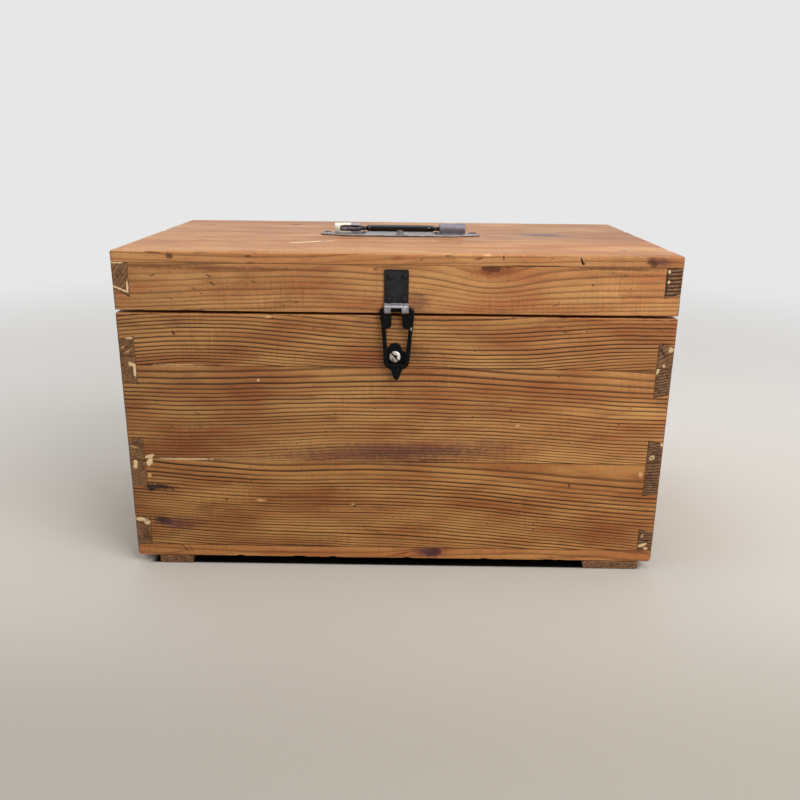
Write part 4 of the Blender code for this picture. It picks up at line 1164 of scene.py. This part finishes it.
def build_handle():
    """A plate with a raised, pierced ear at each end and two rolled clips, one of them torn."""
    low, high, middle = box_mm("handle_plate")
    half, width, ear, thick = (high.x - low.x) / 2, 17.0, 7.5, 1.5
    base = LID_LEVELS[1] + 0.3
    axis_z, clip_r, wall = LID_LEVELS[1] + 6.6, 5.5, 1.5
    inner, outer = 40.5, 67.0
    shoulder = half - 2.9 * ear
    right_end = [(shoulder - 8, -width), (shoulder - 4, -width + 0.4)]
    right_end += [(shoulder, -width + 2.2), (shoulder + 4, -ear - 3.6)]
    right_end += arc((half - ear, 0), ear, -72, 72, 16)
    right_end += [(x, -y) for x, y in right_end[3::-1]]
    outline = right_end + [(-x, -y) for x, y in right_end]
    flat = Matrix.Translation((middle.x, 0, base))
    parts = [(slab(outline, 0, thick), flat)]
    for sign in (-1, 1):
        roll = arc((0, 0), clip_r, -90, 238, 46) + arc((0, 0), clip_r - wall, 238, -90, 46)
        centre = middle.x + sign * (inner + outer) / 2
        along_x = Matrix(((0, 0, 1, centre), (1, 0, 0, 0), (0, 1, 0, axis_z), (0, 0, 0, 1)))
        parts.append((slab(roll, (inner - outer) / 2, (outer - inner) / 2), along_x))
        rim = turned([(3.9, 2.3), (5.2, 2.1), (5.9, 1.2), (5.9, 0.5), (3.9, 0.5), (3.9, 2.3)], 36)
        parts.append((rim, Matrix.Translation((middle.x + sign * (half - ear), 0, base))))
    torn = [(-9.6, -0.6), (-8.8, 2.9), (-4.0, 3.7), (2.2, 3.4), (14, 3.0)]
    torn += [(14, -2.2), (4.2, -2.6), (-3.5, -2.9), (-8.6, -2.6)]
    torn_middle = (middle.x - (inner + outer) / 2 + 1.5, -2.2, axis_z - 0.2)
    cuts = [(slab(torn, 0, 9), Matrix.Translation(torn_middle) @ FACING_FRONT)]
    obj = forged("handle_plate_steel", parts, cuts, 0.42, 3, 0.10, 4.0)
    plated = handle_steel("handle_steel", middle.x, base + thick, half - ear, high.z)
    dress(obj, plated, "handle_plate")

    tin = steel("handle_nail_steel", tone(112, 104, 98), tone(34, 29, 27), 0.3, 0.8, 0.9)
    for i, label in enumerate(("left", "right", "front", "rear")):
        name = f"handle_nail_{label}"
        nail = middle_mm(name)
        place = Matrix.Translation((nail.x, nail.y, LID_LEVELS[1]))
        build_nail(name, place, 3.9, 1.3 if label == "front" else 1.9, 1.9, tin, 20.0 + 3 * i)
    build_bail(middle.x, axis_z)


def handle_steel(name, middle_x, plate_top, ear_x, top):
    """Plated steel: grey on the plate, whitish on the left clip and lilac grey on the right. The
    ears are ear_x from the middle, and top is the clips' highest level."""
    n = Material(name)
    cloud, speck = grain_noise(n, 5, 3), grain_noise(n, 0.7, 3, 0.65)
    brushed = n.noise(n.x / 0.5, n.y / 6, n.z / 6, 1)
    side = n.fade(n.x - middle_x, -4, 4)
    raised = n.fade(n.z - plate_top + speck * 0.2, 0.2, 1.0)
    plate = n.mix(n.fade(cloud, -0.9, 0.9), tone(138, 130, 128), tone(186, 180, 180))
    clips = n.mix(side, tone(226, 220, 206), tone(128, 122, 133))
    inner = n.fade(n.x - middle_x + speck * 0.5, -51, -49.6) * (1 - side)
    clips = n.mix(inner, clips, tone(150, 141, 148))
    crest = n.fade(n.x - middle_x, -50, -51.5) * n.fade(n.y, -0.8, 0.4)
    crest = crest * n.fade(n.z, top - 1.1, top - 0.5)
    clips = n.mix(crest, clips, tone(62, 68, 90))
    colour = n.mix(raised, plate, clips)
    colour = n.scale(colour, 1 + cloud * 0.1 + brushed * 0.08)
    # Dirt and painted shade in the concave corners
    dirt_and_shade = n.fade(speck * 0.04 - sharpness(n), -0.485, -0.43) * 0.7
    ears = n.fade(abs(n.x - middle_x), 66, 74)
    dirt_and_shade = n.most(dirt_and_shade, n.fade(cloud + speck * 0.5, 0.4, 1.0) * (0.25 + ears * 0.5))
    ear = ((abs(n.x - middle_x) - ear_x) ** 2 + n.y ** 2) ** 0.5
    # Painted shade in the ears' hollows, and a painted shadow along the plate's lower edges
    dirt_and_shade = n.most(dirt_and_shade, n.fade(ear, 4.9, 4.3), n.fade(n.z, plate_top - 0.9, plate_top - 1.3))
    colour = n.mix(dirt_and_shade, colour, tone(46, 37, 31))
    # Painted highlight on the ears' raised rims and on the sharp edges
    painted_highlight_lip = n.fade(ear, 4.6, 5.0) * n.fade(ear, 6.4, 6.0) * n.fade(n.z, plate_top + 0.5, plate_top + 1.0)
    lit = n.most(painted_highlight_lip * 0.9, n.fade(sharpness(n), 0.54, 0.62) * 0.5)
    colour = n.mix(lit, colour, tone(240, 236, 224))
    rough = 0.4 + speck * 0.06 + dirt_and_shade * 0.25
    metallic = 0.75 - dirt_and_shade * 0.5 - raised * (1 - side) * 0.35
    return n.finish(colour, rough, speck * 0.02 + brushed * 0.015, metallic)


def build_bail(middle_x, axis_z):
    """The rod pivots in the clips, is drawn out like an old screw at its left end, and carries
    a black turned grip."""
    rod_low, rod_high, _ = box_mm("handle_rod")
    grip_low, grip_high, _ = box_mm("handle_grip")
    rod_r, end, bend, arms = 2.3, (rod_high.x - rod_low.x) / 2, 4.5, 38.0
    reach, drop = 29.0, 2.8
    tilt = Matrix.Rotation(-math.asin(drop / reach), 4, "X")
    place = Matrix.Translation((middle_x, 0, axis_z)) @ tilt
    half = [(end - 0.8 * i, 0) for i in range(24)] + arc((arms + bend, bend), bend, 270, 180, 12)
    half += [(arms, 12), (arms, 18)] + arc((arms - bend, reach - bend), bend, 0, 90, 12)
    path = half + [(x, reach) for x in (20, 0, -20)] + [(-x, y) for x, y in half[::-1]]

    def girth(run):
        from_left = total - run
        if from_left < 18:
            ribs = 0.22 * math.sin(from_left * TAU / 1.9)
            return 1.75 + 0.5 * min(1, from_left / 14) + ribs - 0.22
        return rod_r

    total = sum((Vector(b) - Vector(a)).length for a, b in zip(path, path[1:]))
    fine = []
    for a, b in zip(path, path[1:]):
        a, b = Vector((*a, 0)), Vector((*b, 0))
        steps = max(1, round((b - a).length / 0.4)) if b.x < -arms - bend else 1
        fine += [a.lerp(b, i / steps) for i in range(steps)]
    fine.append(Vector((*path[-1], 0)))
    rod = shape_object("handle_rod_steel", swept(fine, girth, 28), place)
    smoothed(rod.data, 50)
    dress(rod, rod_steel("rod_steel", middle_x, arms), "handle_rod")

    grip_half, r = (grip_high.x - grip_low.x) / 2 + 2.0, 3.6
    bore, ring = 2.55, 4.2
    profile = [(bore, -grip_half)]
    turns = ((0.86, 0), (0.97, 0.5), (0.97, 2.2), (0.84, 2.8), (0.84, 3.5), (0.98, ring))
    for share, in_from_end in turns:
        profile.append((r * share, -grip_half + in_from_end))
    for i in range(1, 12):
        x = -grip_half + ring + 2 * (grip_half - ring) * i / 24
        profile.append((r * (0.98 + 0.02 * math.sin(math.pi * (i / 24))), x))
    profile += [(radius, -x) for radius, x in profile[::-1]]
    profile.append(profile[0])
    across = Matrix.Translation((0, reach, 0)) @ Matrix.Rotation(math.radians(90), 4, "Y")
    grip = shape_object("handle_grip_black", turned(profile, 56), place @ across)
    smoothed(grip.data, 50)
    dress(grip, ebony("grip_black"), "handle_grip")


def rod_steel(name, middle_x, arms):
    """Lilac grey steel in the clips, and black paint from there to the grip."""
    n = Material(name)
    cloud, speck = grain_noise(n, 4, 3), grain_noise(n, 0.6, 3, 0.65)
    painted = n.fade(abs(n.x - middle_x) + speck * 0.3, arms + 3.6, arms + 2.6)
    colour = n.mix(n.fade(cloud + speck * 0.4, -0.9, 0.9), tone(96, 88, 98), tone(160, 150, 160))
    paint = n.mix(n.fade(speck, 0.6, 1.2) * 0.6, tone(14, 13, 15), tone(110, 104, 98))
    colour = n.mix(painted, colour, paint)
    return n.finish(colour, 0.34 + speck * 0.06, speck * 0.02, 0.8 - painted * 0.6)


def ebony(name):
    """Glossy black paint on wood, rubbed brown and grey where the hand goes."""
    n = Material(name)
    cloud, speck = grain_noise(n, 4, 3), grain_noise(n, 0.6, 3, 0.65)
    fibre = n.noise(n.x / 5, n.y / 0.4, n.z / 0.4, 2)
    rub = n.fade(cloud + fibre * 0.5, 0.35, 1.2)
    colour = n.mix(rub * 0.4, tone(11, 11, 14), tone(66, 54, 46))
    colour = n.scale(colour, 1 + fibre * 0.15)
    return n.finish(colour, 0.16 + rub * 0.2 + speck * 0.04, fibre * 0.02 + speck * 0.012)


# ---------------------------------------------------------------- hinges


def build_hinges():
    iron = steel("hinge_iron", tone(116, 108, 100), tone(58, 50, 44), 0.42, 0.85, 0.7)
    bright = steel("hinge_bright", tone(190, 182, 168), tone(112, 100, 86), 0.36, 0.85, 0.7)
    for side in ("left", "right"):
        for body in ("box", "lid"):
            name = f"hinge_{side}_{body}_leaf"
            leaf = bevelled_copy(name, "_iron", 0.18)
            dress(leaf, iron, name)
            for i in (1, 2, 3):
                screw = f"hinge_{side}_{body}_screw_{i}"
                low, high, middle = box_mm(screw)
                face, turn = (low.z if body == "lid" else high.z), (math.pi if body == "lid" else 0)
                place = Matrix.Translation((middle.x, middle.y, face)) @ Matrix.Rotation(turn, 4, "X")
                build_screw(screw, place, 2.5, 1.1, -1.1, 20 + 50 * i, bright, 1.2, 0.6)
        pin = bevelled_copy(f"hinge_{side}_pin", "_steel", 0.4)
        dress(pin, bright, f"hinge_{side}_pin")


def bevelled_copy(node, suffix, width):
    """A copy of a CAD node's mesh with its sharp edges softened."""
    mesh = frame["nodes"][node].data.copy()
    bm = bmesh.new()
    bm.from_mesh(mesh)
    bmesh.ops.remove_doubles(bm, verts=bm.verts, dist=0.005 * MM)
    bmesh.ops.dissolve_limit(bm, angle_limit=0.01, verts=bm.verts, edges=bm.edges)
    bm.to_mesh(mesh)
    bm.free()
    obj = new_object(node + suffix, mesh)
    soften = obj.modifiers.new("Soften", "BEVEL")
    soften.width, soften.segments, soften.angle_limit = width * MM, 2, math.radians(50)
    mesh = applied(obj)
    smoothed(mesh, 35)
    return obj


# ---------------------------------------------------------------- stage, light and camera

BACKDROP = tone(231, 231, 231)
AMBIENT, BEHIND = 0.5, 0.95  # how bright the surroundings light it from the front and from behind


def stage_material():
    """A pale floor, darker towards the front as painted light, with a painted black shadow in the gap
    under the box, that turns into the backdrop far away.
    """
    n = Material("studio_floor")
    cloud = n.noise(n.x / 300, n.y / 300, n.z / 300, 3)
    grain = n.noise(n.x / 3, n.y / 3, n.z / 3, 3)
    # Painted shadow: black in the gap under the box
    under = n.least((HALF_WIDTH - 12 - abs(n.x)) * 0.3, HALF_DEPTH - 1 - abs(n.y))
    # Painted light: darker towards the front, lighter near the box
    colour = n.mix(n.fade(n.y, -420, -150), tone(172, 166, 157), tone(200, 195, 187))
    colour = n.mix(n.fade(n.y, -140, 500), colour, tone(214, 211, 207))
    colour = n.mix(n.fade(under, -1.2, 1.6), colour, tone(7, 6, 6))
    colour = n.scale(colour, 1 + cloud * 0.02 + grain * 0.015)
    material = n.finish(colour, 0.9, grain * 0.05, gloss=0.1)
    far = n.fade((n.x * n.x + n.y * n.y) ** 0.5, 500, 1900)
    glow = n.add("Emission", {"Color": BACKDROP, "Strength": 1.0})
    blend = n.add("MixShader", {0: far, 1: n.shader.outputs[0], 2: glow.outputs[0]})
    n.feed(n.tree.nodes["Material Output"].inputs["Surface"], blend.outputs[0])
    return material


def build_floor():
    """A round floor, wide enough to reach the horizon from every side."""
    radii, sides = (0.5, 1, 2, 4, 8, 16, 30), 64
    vertices, faces = [(0, 0, 0)], []
    for radius in radii:
        vertices += [(x, y, 0) for x, y in arc((0, 0), radius, 0, 360, sides)[:-1]]
    for i in range(sides):
        faces.append((0, 1 + i, 1 + (i + 1) % sides))
    for r in range(len(radii) - 1):
        a, b = 1 + r * sides, 1 + (r + 1) * sides
        faces += [(a + i, b + i, b + (i + 1) % sides, a + (i + 1) % sides) for i in range(sides)]
    mesh = bpy.data.meshes.new("floor")
    mesh.from_pydata(vertices, [], faces)
    floor = new_object("floor", mesh)
    mesh.materials.append(stage_material())


def build_light():
    """A big soft light from the front right, one from above, and weaker light all round that is
    brighter from behind. The camera sees the backdrop at its full brightness."""
    scene = bpy.context.scene
    world = bpy.data.worlds.new("studio")
    world.use_nodes = True
    n = Nodes(world.node_tree)
    back = n.tree.nodes["Background"]
    towards = n.split(n.add("TexCoord").outputs["Generated"])[1]
    seen = n.add("LightPath").outputs["Is Camera Ray"]
    ambient = n.fade(towards, -0.1, 0.7, AMBIENT, BEHIND)
    n.feed(back.inputs[0], BACKDROP)
    n.feed(back.inputs[1], n.most(seen, ambient))
    scene.world = world
    for name, place, size, power, colour in (
        ("key_light", (1.1, -1.2, 1.5), 1.3, 30, (1, 0.985, 0.96)),
        ("top_light", (-0.2, 0.1, 1.9), 1.6, 14, (1, 1, 1)),
    ):
        data = bpy.data.lights.new(name, "AREA")
        data.size, data.energy, data.color = size, power, colour
        lamp = bpy.data.objects.new(name, data)
        scene.collection.objects.link(lamp)
        lamp.location = place
        lamp.rotation_euler = (Vector((0, 0, 0.15)) - lamp.location).to_track_quat("-Z", "Y").to_euler()
    scene.view_settings.view_transform = "Standard"


def build_camera():
    """In front of the chest and a little above its lid, looking down at it."""
    pitch, yaw, roll = (math.radians(a) for a in (-17.72, -0.455, 0.592))
    ahead = Vector((math.sin(yaw) * math.cos(pitch), math.cos(yaw) * math.cos(pitch), math.sin(pitch)))
    right = Vector((math.cos(yaw), -math.sin(yaw), 0))
    up = right.cross(ahead)
    turned_right = right * math.cos(roll) + up * math.sin(roll)
    turned_up = up * math.cos(roll) - right * math.sin(roll)
    data = bpy.data.cameras.new("camera")
    data.lens = 36.47
    data.sensor_width = 36
    camera = bpy.data.objects.new("camera", data)
    bpy.context.scene.collection.objects.link(camera)
    turn = Matrix((turned_right, turned_up, -ahead)).transposed().to_4x4()
    camera.matrix_world = Matrix.Translation((0.0100, -0.8489, 0.3965)) @ turn
    bpy.context.scene.camera = camera


for board_index, board_name in enumerate(BOARDS):
    build_board(board_name, board_index)
build_loop(build_hasp())
build_catch()
build_handle()
build_hinges()
build_floor()
build_light()
build_camera()
